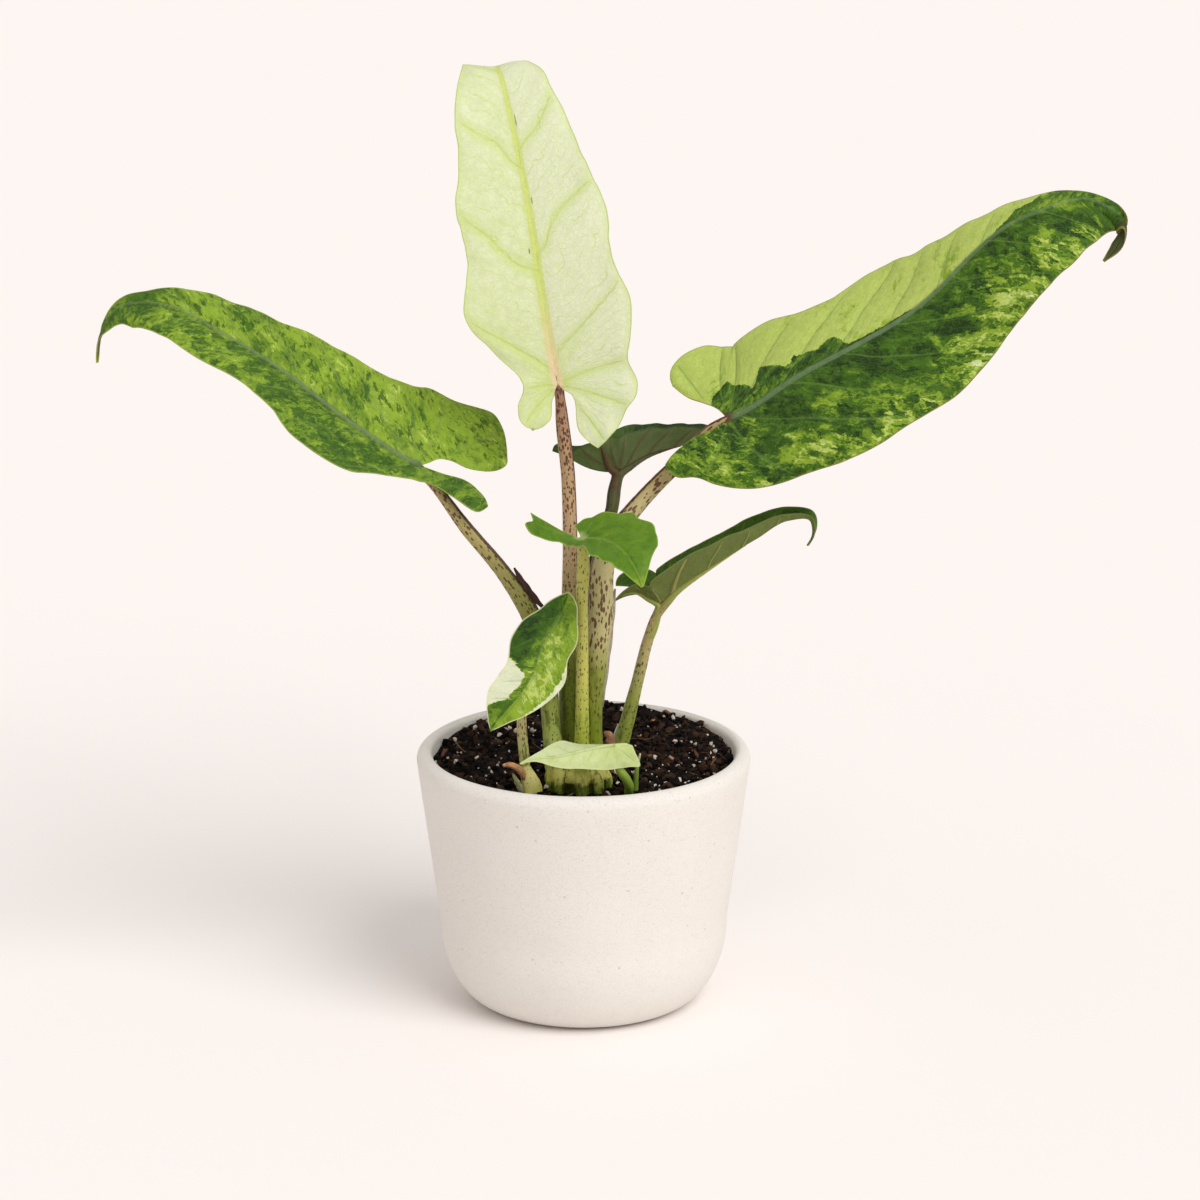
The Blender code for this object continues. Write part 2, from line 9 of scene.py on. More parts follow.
import bpy
import numpy as np
from bpy.props import FloatProperty, FloatVectorProperty, IntProperty, PointerProperty
from mathutils import Matrix, Vector, noise


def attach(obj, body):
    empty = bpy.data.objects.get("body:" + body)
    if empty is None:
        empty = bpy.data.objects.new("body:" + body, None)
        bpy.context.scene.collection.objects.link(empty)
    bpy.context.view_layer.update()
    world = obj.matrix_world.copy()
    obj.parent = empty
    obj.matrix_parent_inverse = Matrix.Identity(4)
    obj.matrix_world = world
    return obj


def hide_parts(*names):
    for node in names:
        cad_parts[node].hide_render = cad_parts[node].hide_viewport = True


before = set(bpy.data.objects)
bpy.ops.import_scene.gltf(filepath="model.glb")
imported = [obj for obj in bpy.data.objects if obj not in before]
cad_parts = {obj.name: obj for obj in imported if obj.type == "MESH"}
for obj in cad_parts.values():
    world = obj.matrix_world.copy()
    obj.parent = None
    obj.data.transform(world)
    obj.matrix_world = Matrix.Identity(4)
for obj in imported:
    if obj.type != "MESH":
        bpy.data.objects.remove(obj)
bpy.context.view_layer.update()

bl_info = {
    "name": "Potted Alocasia",
    "version": (1, 0, 0),
    "blender": (4, 5, 0),
    "location": "3D View > Sidebar > Alocasia",
    "description": "Builds a variegated alocasia in a stoneware pot around its packed solids",
    "category": "Object",
}

MM = 0.001

# The studio: in metres, where the camera and the light stand and how wide the floor is; which way the light
# falls, and how softly, in degrees
CAMERA_PLACE = (0.00689, -2.0429, 0.76784)
KEY_PLACE = (1.2, -1.4, 1.9)
FLOOR_RADIUS = 9.0
KEY_DIRECTION = (-0.46, 0.54, -0.71)
KEY_SOFTNESS = 40
SURROUND_COLOUR = (1.0, 0.972, 0.955, 1)

# The part's own sizes, repeated from its source
POT_HEIGHT = 109.8
RIM_RADIUS = 70.2
RIM_DROP = 4.5
RIM_INNER_DROP = 2.5
WALL = 6.7
WALL_LEAN = 0.136
FOOT_ROUND_WIDTH, FOOT_ROUND_HEIGHT = 21.0, 36.0
FLOOR = 8.0
INNER_ROUND_WIDTH, INNER_ROUND_HEIGHT = 17.0, 24.0
SOIL_LEVEL, SOIL_SLOPE = 102.8, 0.105
CROWN_TOP = 98.5
STALK_FOOT = 99.0

# The soil: its gap to the wall, its sides as (height, share of the top's radius), its clods as (height,
# size, shift, reach), and the openings round the stems that loose pieces keep off, as (x, y, radius)
SOIL_CLEARANCE = 0.25
SOIL_SIDES = [(94, 0.997), (70, 0.95), (40, 0.885), (20, 0.82), (FLOOR + 2.5, 0.7)]
SOIL_CLODS = [(1.5, 4.2, (3, 5, 1), 0.75), (0.8, 2.0, (9, 2, 4), 0.7)]
SOIL_OPENINGS = [(-3.5, -21.5, 13.0), (14.5, 0, 3.2), (18.8, -32, 2.4), (21.8, -26.5, 1.2),
                 (-21.3, -29.6, 4.4), (11.7, 6, 1.2)]
# How far from the middle loose pieces are dropped, and how far they may reach
SCATTER_REACH, SCATTER_EDGE = 62.5, 64.9
# How much loose pieces differ in size, and how many times the usual size the largest are
SIZE_SPREAD, SIZE_LIMIT = 0.5, 2.6
# How many divisions the soil's top has, and how many shapes its crumbs come in
SOIL_DIVISIONS, CLOD_SHAPES = 170, 6

# How a blade bends: over what reach its direction is read, how far up the mesh its notch goes, over what
# share its tip flattens, how gently its margins stiffen, and a distance that no margin gets to
FORWARD_REACH = 8.0
SINUS_SHARE = 0.3
FLAT_TIP_SHARE = 0.15
STIFF_ONSET = 6.0
NEVER = 1000.0
# How much of its thickness a blade keeps at its margin, and how far in from there it is whole
MARGIN_THICKNESS, MARGIN_WIDTH = 0.45, 3
# A plain keel under a blade, as (distance ahead of the joint, share of the stalk's top radius)
PLAIN_KEEL = [(1, 1.05), (5, 0.85), (11, 0.5), (18, 0.15)]
# How values of one, three and four numbers are kept at a vertex
LAYERS = {1: ("FLOAT", "value"), 3: ("FLOAT_VECTOR", "vector"), 4: ("FLOAT_COLOR", "color")}

# Each stalk is (x, y, z, radius) from its foot to its top. A blade's spine starts in the notch and ends at
# the tip. The stalk meets it at its second point, or at the one that "notch_points" gives. "up" gives the
# directions that the upper side faces along the spine, "lift" how far the left and right halves rise from it
# at the base, then at the tip, in degrees. Past "stiff_from" the margins no longer turn with the spine.
# "left" and "right" are seen from above with the tip ahead: the notch's edge from the stalk to the end of
# the lobe, then the margin from there to the tip, as (out, along). "rows" and "columns" set how fine the
# mesh is. "veins" are the laterals: first start, spacing, slope, curl and the angle between ribs in the
# lobes. "wave", "quilt" and "ragged" are how far the margin ripples, how far the skin puffs up between the
# veins and how uneven the outline is. "rib" is the midrib's half width at the base and at the tip, and
# "ridge" how far it stands up. On the underside "cord" is how far the laterals stand out. "vein_reach" is
# how far from the margin they fade, and "keels" are the ribs that carry on the stalk, as (out, along,
# radius), sunk by "keel_depth" times their radius.
LEAVES = {
    "pale_leaf": {
        "stalk": [(-3.8, -19.5, STALK_FOOT, 4.2), (-4.2, -19.3, 108, 4.0), (-6.4, -18, 132, 3.6),
                  (-6.4, -16, 157, 3.3), (-5.5, -13, 198, 3.0), (-6.3, -10, 231, 2.8),
                  (-8.7, -8.5, 254, 2.6), (-9.6, -9.0, 264.0, 2.0)],
        "spine": [(-3, -16, 242), (-10, -8, 267), (-16, -4, 300), (-22, 6, 338), (-29, 20, 371),
                  (-35, 36, 391), (-40, 58, 385), (-42, 68, 375)],
        "up": [(0, -1, 0.15), (0, -1, 0.2), (0, -0.8, 0.6), (0, 0.2, 1)],
        "lift": [(8, 8), (8, 8)],
        "left": ([(0, 0), (3, -3), (7, -12), (14, -14)],
                 [(19, -10), (18, -4), (14, 4), (23, 19), (33, 36), (28, 56), (30, 82),
                  (25, 98), (23, 118), (16, 137), (9, 156), (0.5, 174)]),
        "right": ([(0, 0), (4, -3), (4, -20), (9, -28)],
                  [(18, -24), (25, -16), (32, -9), (31, 7), (36, 31), (31, 52), (31, 72),
                   (26, 92), (22, 112), (16, 132), (8, 156), (0.5, 174)]),
        "rows": 250, "columns": 40,
        "veins": (13, 43, 0.85, 0.004, 42),
        "wave": 0.8, "quilt": 0.25, "rib": (2.7, 0.9), "ragged": 0.8, "ridge": 0.04,
    },
    "right_leaf": {
        "stalk": [(5.2, -22.5, STALK_FOOT, 4.6), (4.6, -22.3, 108, 4.2), (3.6, -21, 131, 4.1),
                  (5.4, -20, 155, 4.6), (7.2, -18, 173, 5.0), (8.1, -15, 194, 4.8),
                  (11.4, -12, 204, 4.3), (19.2, -6, 213, 3.6), (29.2, 0, 223, 3.2), (39, 2, 232.4, 3.0),
                  (55.2, -0.7, 249.6, 2.1)],
        "spine": [(35, 8, 251), (59, -2, 253), (89, -6, 272), (133, -4, 297), (181, 2, 337),
                  (209, 4, 343), (220, -4, 335), (212, -10, 321)],
        "up": [(-0.36, -0.555, 0.75)] * 14 + [(0.8, 0.55, 0.1), (0.5, 0.85, -0.1)],
        "stiff_from": 166,
        "lift": [(-5, -5), (-15, -15)],
        "left": ([(0, 0), (6, -5), (10, -14), (12, -22), (16, -31)],
                 [(23, -35), (31, -34), (39, -28), (41, -10), (41, 14), (41, 33), (36, 45),
                  (35, 58), (37, 75), (36, 93), (28, 107), (21, 122), (14, 142), (12, 157), (8, 168),
                  (5.5, 178), (4.5, 188), (4.2, 196), (3, 203), (0.5, 211)]),
        "right": ([(0, 0), (4, -5), (8, -13), (15, -18), (22, -20)],
                  [(27, -15), (27, -10), (32, -3), (39, 8), (44, 21), (48, 34), (49, 48),
                   (47, 65), (46, 82), (43, 95), (39, 108), (37, 122), (35, 140), (31, 153), (25, 165),
                   (18, 176), (11, 184), (6.5, 190), (4.4, 196), (3.2, 203), (0.5, 211)]),
        "rows": 270, "columns": 44,
        "veins": (5, 25, 1.15, 0.006, 34),
        "wave": 0.35, "quilt": 0.7, "rib": (1.7, 0.5), "ragged": 0.35,
    },
    "left_leaf": {
        "stalk": [(-10.4, -24.6, STALK_FOOT, 3.7), (-11.4, -25, 108, 4.0), (-13.6, -25, 130, 3.7),
                  (-14.4, -25, 143, 3.8), (-16.7, -24, 160, 4.0), (-22.2, -22, 175.3, 4.0),
                  (-33.1, -20, 192.2, 3.1), (-48.1, -17, 210, 2.7), (-64, -14.2, 230.6, 2.0)],
        "spine": [(-43, -6, 229), (-67, -14, 236), (-93, -20, 254), (-125, -20, 279), (-148, -18, 293),
                  (-171, -16, 304), (-190, -16, 302), (-196, -18, 293), (-198, -20, 281)],
        "up": [(0.44, -0.41, 0.8)] * 12 + [(-0.2, -0.2, 0.8), (-0.9, 0.6, 0)],
        "lift": [(3, 8), (0, 0)],
        "left": ([(0, 0), (1, -10), (3, -20), (10, -25), (18, -26)],
                 [(21, -22), (14, -13), (10, -5), (11, 4), (20, 19), (29, 30), (32, 41),
                  (31, 53), (25, 66), (22, 78), (22, 95), (22, 112), (18, 127), (12, 142), (5.5, 152),
                  (2.2, 159), (0.5, 168)]),
        "right": ([(0, 0), (3, -4), (6.5, -9), (7, -14), (4, -22), (3, -29)],
                  [(4, -35), (7, -39), (13, -40.4), (24, -40.8), (31.4, -38.6), (36, -31),
                   (38.6, -20), (42.6, -3), (38, 16), (36, 27), (33, 47), (29, 65), (25, 81), (22, 97),
                   (18, 111), (11, 125), (5.5, 138), (2.6, 150), (1.9, 159), (0.5, 168)]),
        "rows": 250, "columns": 40,
        "veins": (5, 27, 1.1, 0.006, 38),
        "wave": 0.3, "quilt": 0.7, "rib": (1.5, 0.45), "ragged": 0.5,
    },
    "rear_leaf": {
        "stalk": [(3, -11.5, STALK_FOOT, 3.0), (3.6, -10.5, 134, 2.5), (2.7, -8.5, 160, 2.4),
                  (3.2, -6, 180.3, 2.3), (4.4, -3, 191.5, 2.3), (8.1, 3, 201.5, 2.4),
                  (11.9, 8, 211.8, 2.6), (12.9, 11.4, 218.6, 2.6), (13.9, 13.7, 225.1, 1.6)],
        "spine": [(-6, 5, 231), (14, 14, 226), (24, 22, 230), (41, 34, 232), (58, 46, 231),
                  (77, 58, 227)],
        "up": [(-0.2, 0.1, 1), (-0.1, 0.1, 1)],
        "lift": [(60, 60), (50, 50)],
        "left": ([(0, 0), (3, -3), (5, -12), (4, -22), (3, -30)],
                 [(6, -30), (10, -21), (15, -10), (16, 4), (15, 16), (12, 28), (10, 40),
                  (7, 56), (3, 68), (0.5, 78)]),
        "right": ([(0, 0), (1, -7), (2, -16), (3, -23)],
                  [(6, -24), (12, -21), (16, -15), (18, -6), (18, 6), (15, 15), (12, 23),
                   (11, 32), (9, 38), (7, 47), (4, 62), (0.5, 78)]),
        "keels": [[(0, 1, 2.0), (0.3, 7, 1.5), (0, 15, 1.0), (0, 26, 0.5), (0, 34, 0.2)],
                  [(0.6, -1, 1.9), (4, -5, 1.4), (9, -9, 0.9), (13, -13, 0.5), (15, -16, 0.2)]],
        "rows": 150, "columns": 26,
        "veins": (3, 13, 0.9, 0.01, 40),
        "wave": 0.6, "quilt": 0.45, "rib": (1.2, 0.4), "cord": 0.5, "vein_reach": 6,
    },
    "marbled_leaf": {
        "stalk": [(-24.2, -30, 112.2, 2.1), (-24.8, -30, 118.3, 2.1), (-25.4, -31, 132.5, 2.0),
                  (-22.4, -32, 148.4, 1.9), (-16.6, -34, 163.6, 1.8), (-11.2, -36, 175.2, 1.6),
                  (-9.6, -36.8, 177.8, 1.3)],
        "spine": [(-6, -36, 188), (-9, -38, 180), (-17, -43, 167), (-20, -46, 157), (-25, -48, 149),
                  (-32, -50, 141), (-38, -50, 133)],
        "up": [(0, -1, 0.2), (0, -1, 0.2)],
        "lift": [(5, 5), (5, 5)],
        "left": ([(0, 0), (0, -4), (0, -9)],
                 [(4.6, -5.6), (8, 1), (12, 9), (12, 19), (13, 27), (12, 31), (9, 39), (5, 48),
                  (0.5, 57)]),
        "right": ([(0, 0), (0, -4), (0, -9)],
                  [(5, -4.6), (9, 4), (12, 10), (13, 16), (12, 26), (12, 37), (11, 45), (8, 50),
                   (4, 54), (0.5, 57)]),
        "rows": 120, "columns": 24,
        "veins": (2, 9.5, 0.8, 0.01, 40),
        "wave": 0.35, "quilt": 0.35, "rib": (1.0, 0.3),
    },
    "front_leaf": {
        "stalk": [(-0.8, -29.2, STALK_FOOT, 3.8), (-0.6, -30, 122.6, 3.0), (-0.5, -31, 142.5, 2.6),
                  (-0.5, -32, 167.8, 2.5), (-0.5, -33, 184, 2.4), (-0.2, -34.8, 205, 2.2),
                  (-0.9, -36, 210.3, 1.5)],
        "spine": [(-13, -30, 217), (-1, -36, 211), (7, -42, 212), (14, -50, 211), (20, -58, 206),
                  (24, -62, 198)],
        "up": [(0.2, -0.45, 0.85), (0.4, -0.6, 0.5)],
        "lift": [(15, 15), (15, 15)],
        "left": ([(0, 0), (2, -2), (4, -6)],
                 [(9, -4.6), (13, 0), (15.6, 5.4), (16, 9), (18.6, 12.6), (17, 15), (18.8, 20),
                  (16.6, 24), (14.4, 28), (9, 32), (4, 38), (0.5, 42)]),
        "right": ([(0, 0), (1, -7), (3, -14), (5, -18), (6.4, -21.4)],
                  [(11, -18.6), (16.6, -19.4), (17.4, -16.4), (14, -11), (10, -2), (12, 8),
                   (17, 19), (18, 26), (15, 28), (10, 32), (5, 37), (0.5, 42)]),
        "rows": 120, "columns": 26,
        "veins": (2, 8.5, 0.8, 0.01, 36),
        "wave": 0.5, "quilt": 0.4, "rib": (1.0, 0.3), "ragged": 0.6,
    },
    "low_leaf": {
        "stalk": [(14.5, 0, 94.8, 3.2), (14.6, 0, 105, 3.2), (16.6, 0, 114.3, 3.1),
                  (19.1, -1, 124.8, 2.9), (22.2, -2, 137.8, 2.5), (27.3, -3, 159.1, 2.2),
                  (30.4, -3.5, 168.4, 1.9), (31.9, -3.9, 173.3, 1.4)],
        "spine": [(13, -2, 173), (22, -2, 176), (32, -4, 174), (37, -5, 179), (52, -6, 190),
                  (72, -7, 203), (85, -8, 211), (94, -9, 211), (95, -10, 207), (93, -10, 201)],
        "notch_points": 2,
        "up": [(-0.4, 0, 1), (-0.2, 0, 1), (1, 0, 0.5)],
        "lift": [(55, 55), (56, 40)],
        "left": ([(0, 0), (2, -3), (5, -13), (7, -17)],
                 [(11, -15), (13, -9), (13, 2), (12, 18), (10.5, 35), (9, 54), (6.5, 64),
                  (4.6, 71), (3, 77), (1.6, 82), (0.5, 85)]),
        "right": ([(0, 0), (2, -3), (2, -12), (1.5, -20)],
                  [(4, -17), (8, -12), (12, -4), (14, 10), (14, 24), (12.5, 38), (9.5, 51),
                   (5, 64), (3, 72), (2.2, 80), (0.5, 85)]),
        "keels": [[(0, 3, 1.7), (0, 9, 1.3), (0, 18, 0.95), (0, 30, 0.6), (0, 44, 0.2)],
                  [(0.5, -1, 1.5), (2.4, -5, 1.0), (3.6, -10, 0.6), (3, -16, 0.2)]],
        "rows": 150, "columns": 24,
        "veins": (8, 17, 0.9, 0.012, 60),
        "wave": 0.3, "quilt": 0.4, "rib": (0.9, 0.3), "cord": 0.45, "vein_reach": 4,
    },
    "cream_leaf": {
        "stalk": [(18.8, -31, 91.5, 1.9), (18.8, -31, 100, 1.9), (19.1, -35, 103.8, 1.9),
                  (17.6, -39, 108.6, 1.9), (15.3, -42, 113, 1.8), (13.4, -43.2, 117.8, 1.3)],
        "spine": [(24, -39.5, 124.2), (13, -44.5, 125.4), (4, -49.5, 125.4), (-5, -53, 124.2),
                  (-12, -54, 123), (-21, -54, 122), (-26, -54, 120)],
        "up": [(0, -0.6, 1), (0, -0.6, 1)],
        "lift": [(-52, -48), (-34, 24)],
        "left": ([(0, 0), (0.2, -2), (0.3, -6), (0.8, -8)],
                 [(4, -9.6), (9.4, -12), (10, -6.6), (10, 1), (9, 9), (6.6, 19), (3.4, 29),
                  (1.3, 35), (0.5, 41)]),
        "right": ([(0, 0), (0.1, -2), (0.2, -4), (0.4, -6)],
                  [(3, -6), (5.6, -3), (6.4, 3), (6, 12), (8, 17), (9, 22), (6.5, 28), (3, 33),
                   (1.2, 37), (0.5, 41)]),
        "rows": 110, "columns": 20,
        "veins": (2, 9, 0.8, 0.01, 45),
        "wave": 0.3, "quilt": 0.3, "rib": (0.6, 0.15), "ridge": 0.08, "keel_depth": 1.8,
    },
}

# How each blade is marbled. "tone" is where its left and right halves lie between deep green, 0, and cream,
# 1. "patches" shift it, and "bright" says where thin bright strokes and a fine mosaic lie, both as (out,
# along, reach out, reach along, change). "panes" are torn-edged areas of one tone: (tone, outline).
# "break_up" is how strongly clouds, blots, ragged flecks and mosaic pieces break the tones up, and "fleck"
# is their size. The colours are the midrib's, "rib", the margin's, "rim", the laterals', "vein", and the
# underside's with its veins. "halo", "vein_strength", "hair" and "net" are how clearly the skin beside the
# laterals, the laterals, the hair veins and the net between them show. "rough" is the skin's roughness and
# "glow" how much light goes through it. Some blades also have: "groove_shade", how dark the painted shade
# beside the midrib is; "rib_shade", how much of its brightness the midrib's streaks keep; "rib_foot", its
# colour near the stalk; "blush", a colour round the stalk's joint; "tip", (where a withered tip starts, its
# colour); "fresh", how far one young green covers the marbling; "dots", how clear small dark dots are; and
# "scars", (out, along, half width, half length).
LOOKS = {
    "pale_leaf": {
        # The left half's tone, a little below the right's, is painted shade on that half
        "tone": (0.915, 0.96),
        "patches": [(0, 168, 30, 14, -0.05), (-6, -14, 12, 10, -0.03)],
        "break_up": (0.07, 0.03, 0.1, 0.0), "fleck": 5.0, "rib": (206, 218, 116), "rim": (170, 190, 104),
        "vein": (196, 212, 112), "halo": 0.4, "vein_strength": 0.4, "hair": 0.6, "net": 0.44,
        "under": (206, 212, 168), "under_vein": (172, 190, 110), "rough": 0.55, "glow": 0.2,
        "rib_foot": (226, 204, 164), "groove_shade": 0.06, "rib_shade": 0.95,
        "scars": [(1.7, 112, 0.28, 3.4), (1.8, 78, 0.26, 1.9), (-2.6, 57.5, 0.32, 1.2)],
    },
    "right_leaf": {
        "tone": (0.68, 0.25),
        "panes": [(0.17, [(2, -6), (-6, -8), (-13, -9), (-19, -4), (-20, 0), (-17, 5), (-13.5, 13),
                          (-9.5, 15), (-12, 17.5), (-18.5, 21.5), (-14, 27), (-9.5, 31.5), (-9, 34),
                          (-12.5, 36.5), (-11.5, 40), (-9, 45), (-8, 46.5), (-11.5, 52), (-10, 56),
                          (-4, 58.5), (-2.6, 60), (-2.2, 88), (2, 92)]),
                  (0.28, [(1, 132), (-2, 136), (-3, 142), (-6, 146), (-7, 154), (-10, 158), (-10, 166),
                          (-14, 170), (-30, 172), (-30, 214), (1, 214)])],
        "patches": [(44, 116, 13, 60, 0.14), (34, 20, 20, 22, 0.05), (16, 62, 12, 26, -0.12),
                    (20, 28, 9, 10, -0.1), (12, 108, 10, 22, -0.1), (10, 160, 8, 20, -0.1),
                    (-24, -24, 14, 14, 0.04), (22, 160, 8, 18, 0.08), (30, 124, 10, 24, 0.1),
                    (23, 100, 10, 14, 0.14), (4, 202, 12, 10, -0.16)],
        "bright": [(14, -2, 20, 18, 1.0), (44, 30, 12, 30, 0.7), (22, 40, 9, 14, 0.6),
                   (46, 100, 16, 70, 1.0), (26, 132, 14, 40, 0.8), (10, 120, 8, 30, 0.35),
                   (-7, 26, 9, 34, 0.5), (-8, 166, 12, 20, 0.5), (20, 165, 10, 18, 0.8)],
        "break_up": (0.26, 0.2, 0.2, 0.22), "fleck": 3.4, "rib": (112, 138, 92),
        "rim": (134, 124, 62), "vein": (112, 146, 66), "halo": 0.03, "vein_strength": 0.3,
        "hair": 0.16, "net": 0.28, "under": (118, 134, 84), "under_vein": (150, 160, 100),
        "rough": 0.5, "glow": 0.1, "blush": (104, 52, 46), "tip": (191, (58, 62, 30)),
    },
    "left_leaf": {
        "tone": (0.35, 0.5),
        "patches": [(26, 22, 18, 34, 0.05), (30, -30, 10, 12, -0.05), (7, 60, 5, 50, -0.06),
                    (10, 132, 9, 8, -0.25), (18, 88, 8, 10, -0.1), (16, 40, 8, 8, -0.14),
                    (26, 4, 7, 6, -0.14), (-14, 44, 7, 30, -0.05), (-14, 20, 9, 12, -0.06),
                    (-14, 104, 9, 20, 0.06), (4, 145, 8, 10, -0.12)],
        "bright": [(-12, 110, 12, 34, 0.6), (-16, 30, 10, 34, 0.6), (16, 104, 12, 34, 0.1),
                   (12, 10, 9, 14, 0.1), (-10, -18, 10, 10, 0.5)],
        "break_up": (0.16, 0.16, 0.2, 0.12), "fleck": 2.4, "rib": (116, 138, 92),
        "rim": (150, 164, 72), "vein": (124, 152, 76), "halo": 0.05, "vein_strength": 0.3,
        "hair": 0.08, "net": 0.16, "under": (128, 144, 86), "under_vein": (156, 166, 104),
        "rough": 0.5, "glow": 0.1, "dots": 0.8, "tip": (153, (86, 78, 48)),
    },
    "rear_leaf": {
        "tone": (0.17, 0.17), "patches": [], "break_up": (0.12, 0.08, 0.1, 0.04), "fleck": 3.0,
        "rib": (96, 112, 76), "rim": (62, 78, 48), "vein": (96, 112, 70), "halo": 0.2,
        "vein_strength": 0.5, "hair": 0.2, "net": 0.3, "under": (98, 114, 66),
        "under_vein": (100, 70, 50), "rough": 0.55, "glow": 0.08,
    },
    "marbled_leaf": {
        "tone": (0.46, 0.28),
        "panes": [(0.97, [(14, 24), (9.5, 26), (7, 28), (3.2, 29.5), (2.2, 34), (3.4, 38), (2.8, 42),
                          (5, 45.5), (7.2, 49), (9, 54), (16, 50), (18, 30)]),
                  (0.94, [(-16, 12), (-12.6, 14), (-12.1, 20), (-11.2, 26), (-10.6, 31), (-8.8, 36),
                         (-7.2, 42), (-9, 48), (-18, 46), (-20, 12)]),
                  (0.17, [(1.5, -9), (2.6, 4), (3.2, 14), (5, 22), (8, 26), (13, 24), (16, 10), (8, -8)])],
        "patches": [(-3, 34, 7, 12, 0.12), (-5, 2, 5, 6, -0.03), (-7, 14, 5, 9, 0.06),
                    (1, 52, 4, 6, 0.12), (3, 30, 3, 6, 0.12)],
        "bright": [(-3, 30, 8, 14, 1.0), (-5, 12, 5, 8, 0.4)],
        "break_up": (0.12, 0.1, 0.14, 0.16), "fleck": 2.2, "rib": (108, 144, 62),
        "rim": (214, 218, 168), "vein": (104, 142, 64), "halo": 0.04, "vein_strength": 0.18,
        "hair": 0.06, "net": 0.1, "under": (150, 164, 112), "under_vein": (168, 178, 124),
        "rough": 0.45, "glow": 0.1,
    },
    "front_leaf": {
        "tone": (0.34, 0.34),
        # The lighter patches at (-2, 8) and (-13, 16) are painted highlights and the darker one at (12, -16)
        # painted shade on a lobe; the one at the tip is its own yellower green
        "patches": [(0, 43, 16, 5, 0.3), (-2, 8, 7, 7, 0.1), (-13, 16, 6, 9, 0.08), (12, -16, 8, 9, -0.1)],
        "break_up": (0.3, 0.06, 0.16, 0.0), "fleck": 4.4, "rib": (140, 172, 72),
        "rim": (146, 168, 70), "vein": (112, 152, 54), "halo": 0.1, "vein_strength": 0.22,
        "hair": 0.08, "net": 0.12, "under": (112, 142, 64), "under_vein": (142, 164, 88),
        "rough": 0.38, "glow": 0.1, "fresh": 0.72, "blush": (176, 190, 120),
    },
    "low_leaf": {
        "tone": (0.28, 0.28), "patches": [], "break_up": (0.2, 0.12, 0.12, 0.06),
        "fleck": 3.0, "rib": (150, 162, 96), "rim": (118, 130, 76), "vein": (120, 140, 70),
        "halo": 0.12, "vein_strength": 0.4, "hair": 0.1, "net": 0.2, "under": (116, 126, 68),
        "under_vein": (158, 154, 84), "rough": 0.52, "glow": 0.08,
    },
    "cream_leaf": {
        "tone": (0.87, 0.9), "patches": [(0, -4, 12, 12, -0.03)], "break_up": (0.06, 0.02, 0.06, 0.0),
        "fleck": 4.0, "rib": (186, 208, 124), "rim": (212, 222, 158),
        "vein": (184, 206, 122), "halo": 0.18, "vein_strength": 0.2, "hair": 0.1, "net": 0.14,
        "under": (206, 220, 152), "under_vein": (184, 204, 118), "rough": 0.45, "glow": 0.15,
    },
}

# The colour of the scars on a blade
SCAR = (104, 108, 40)

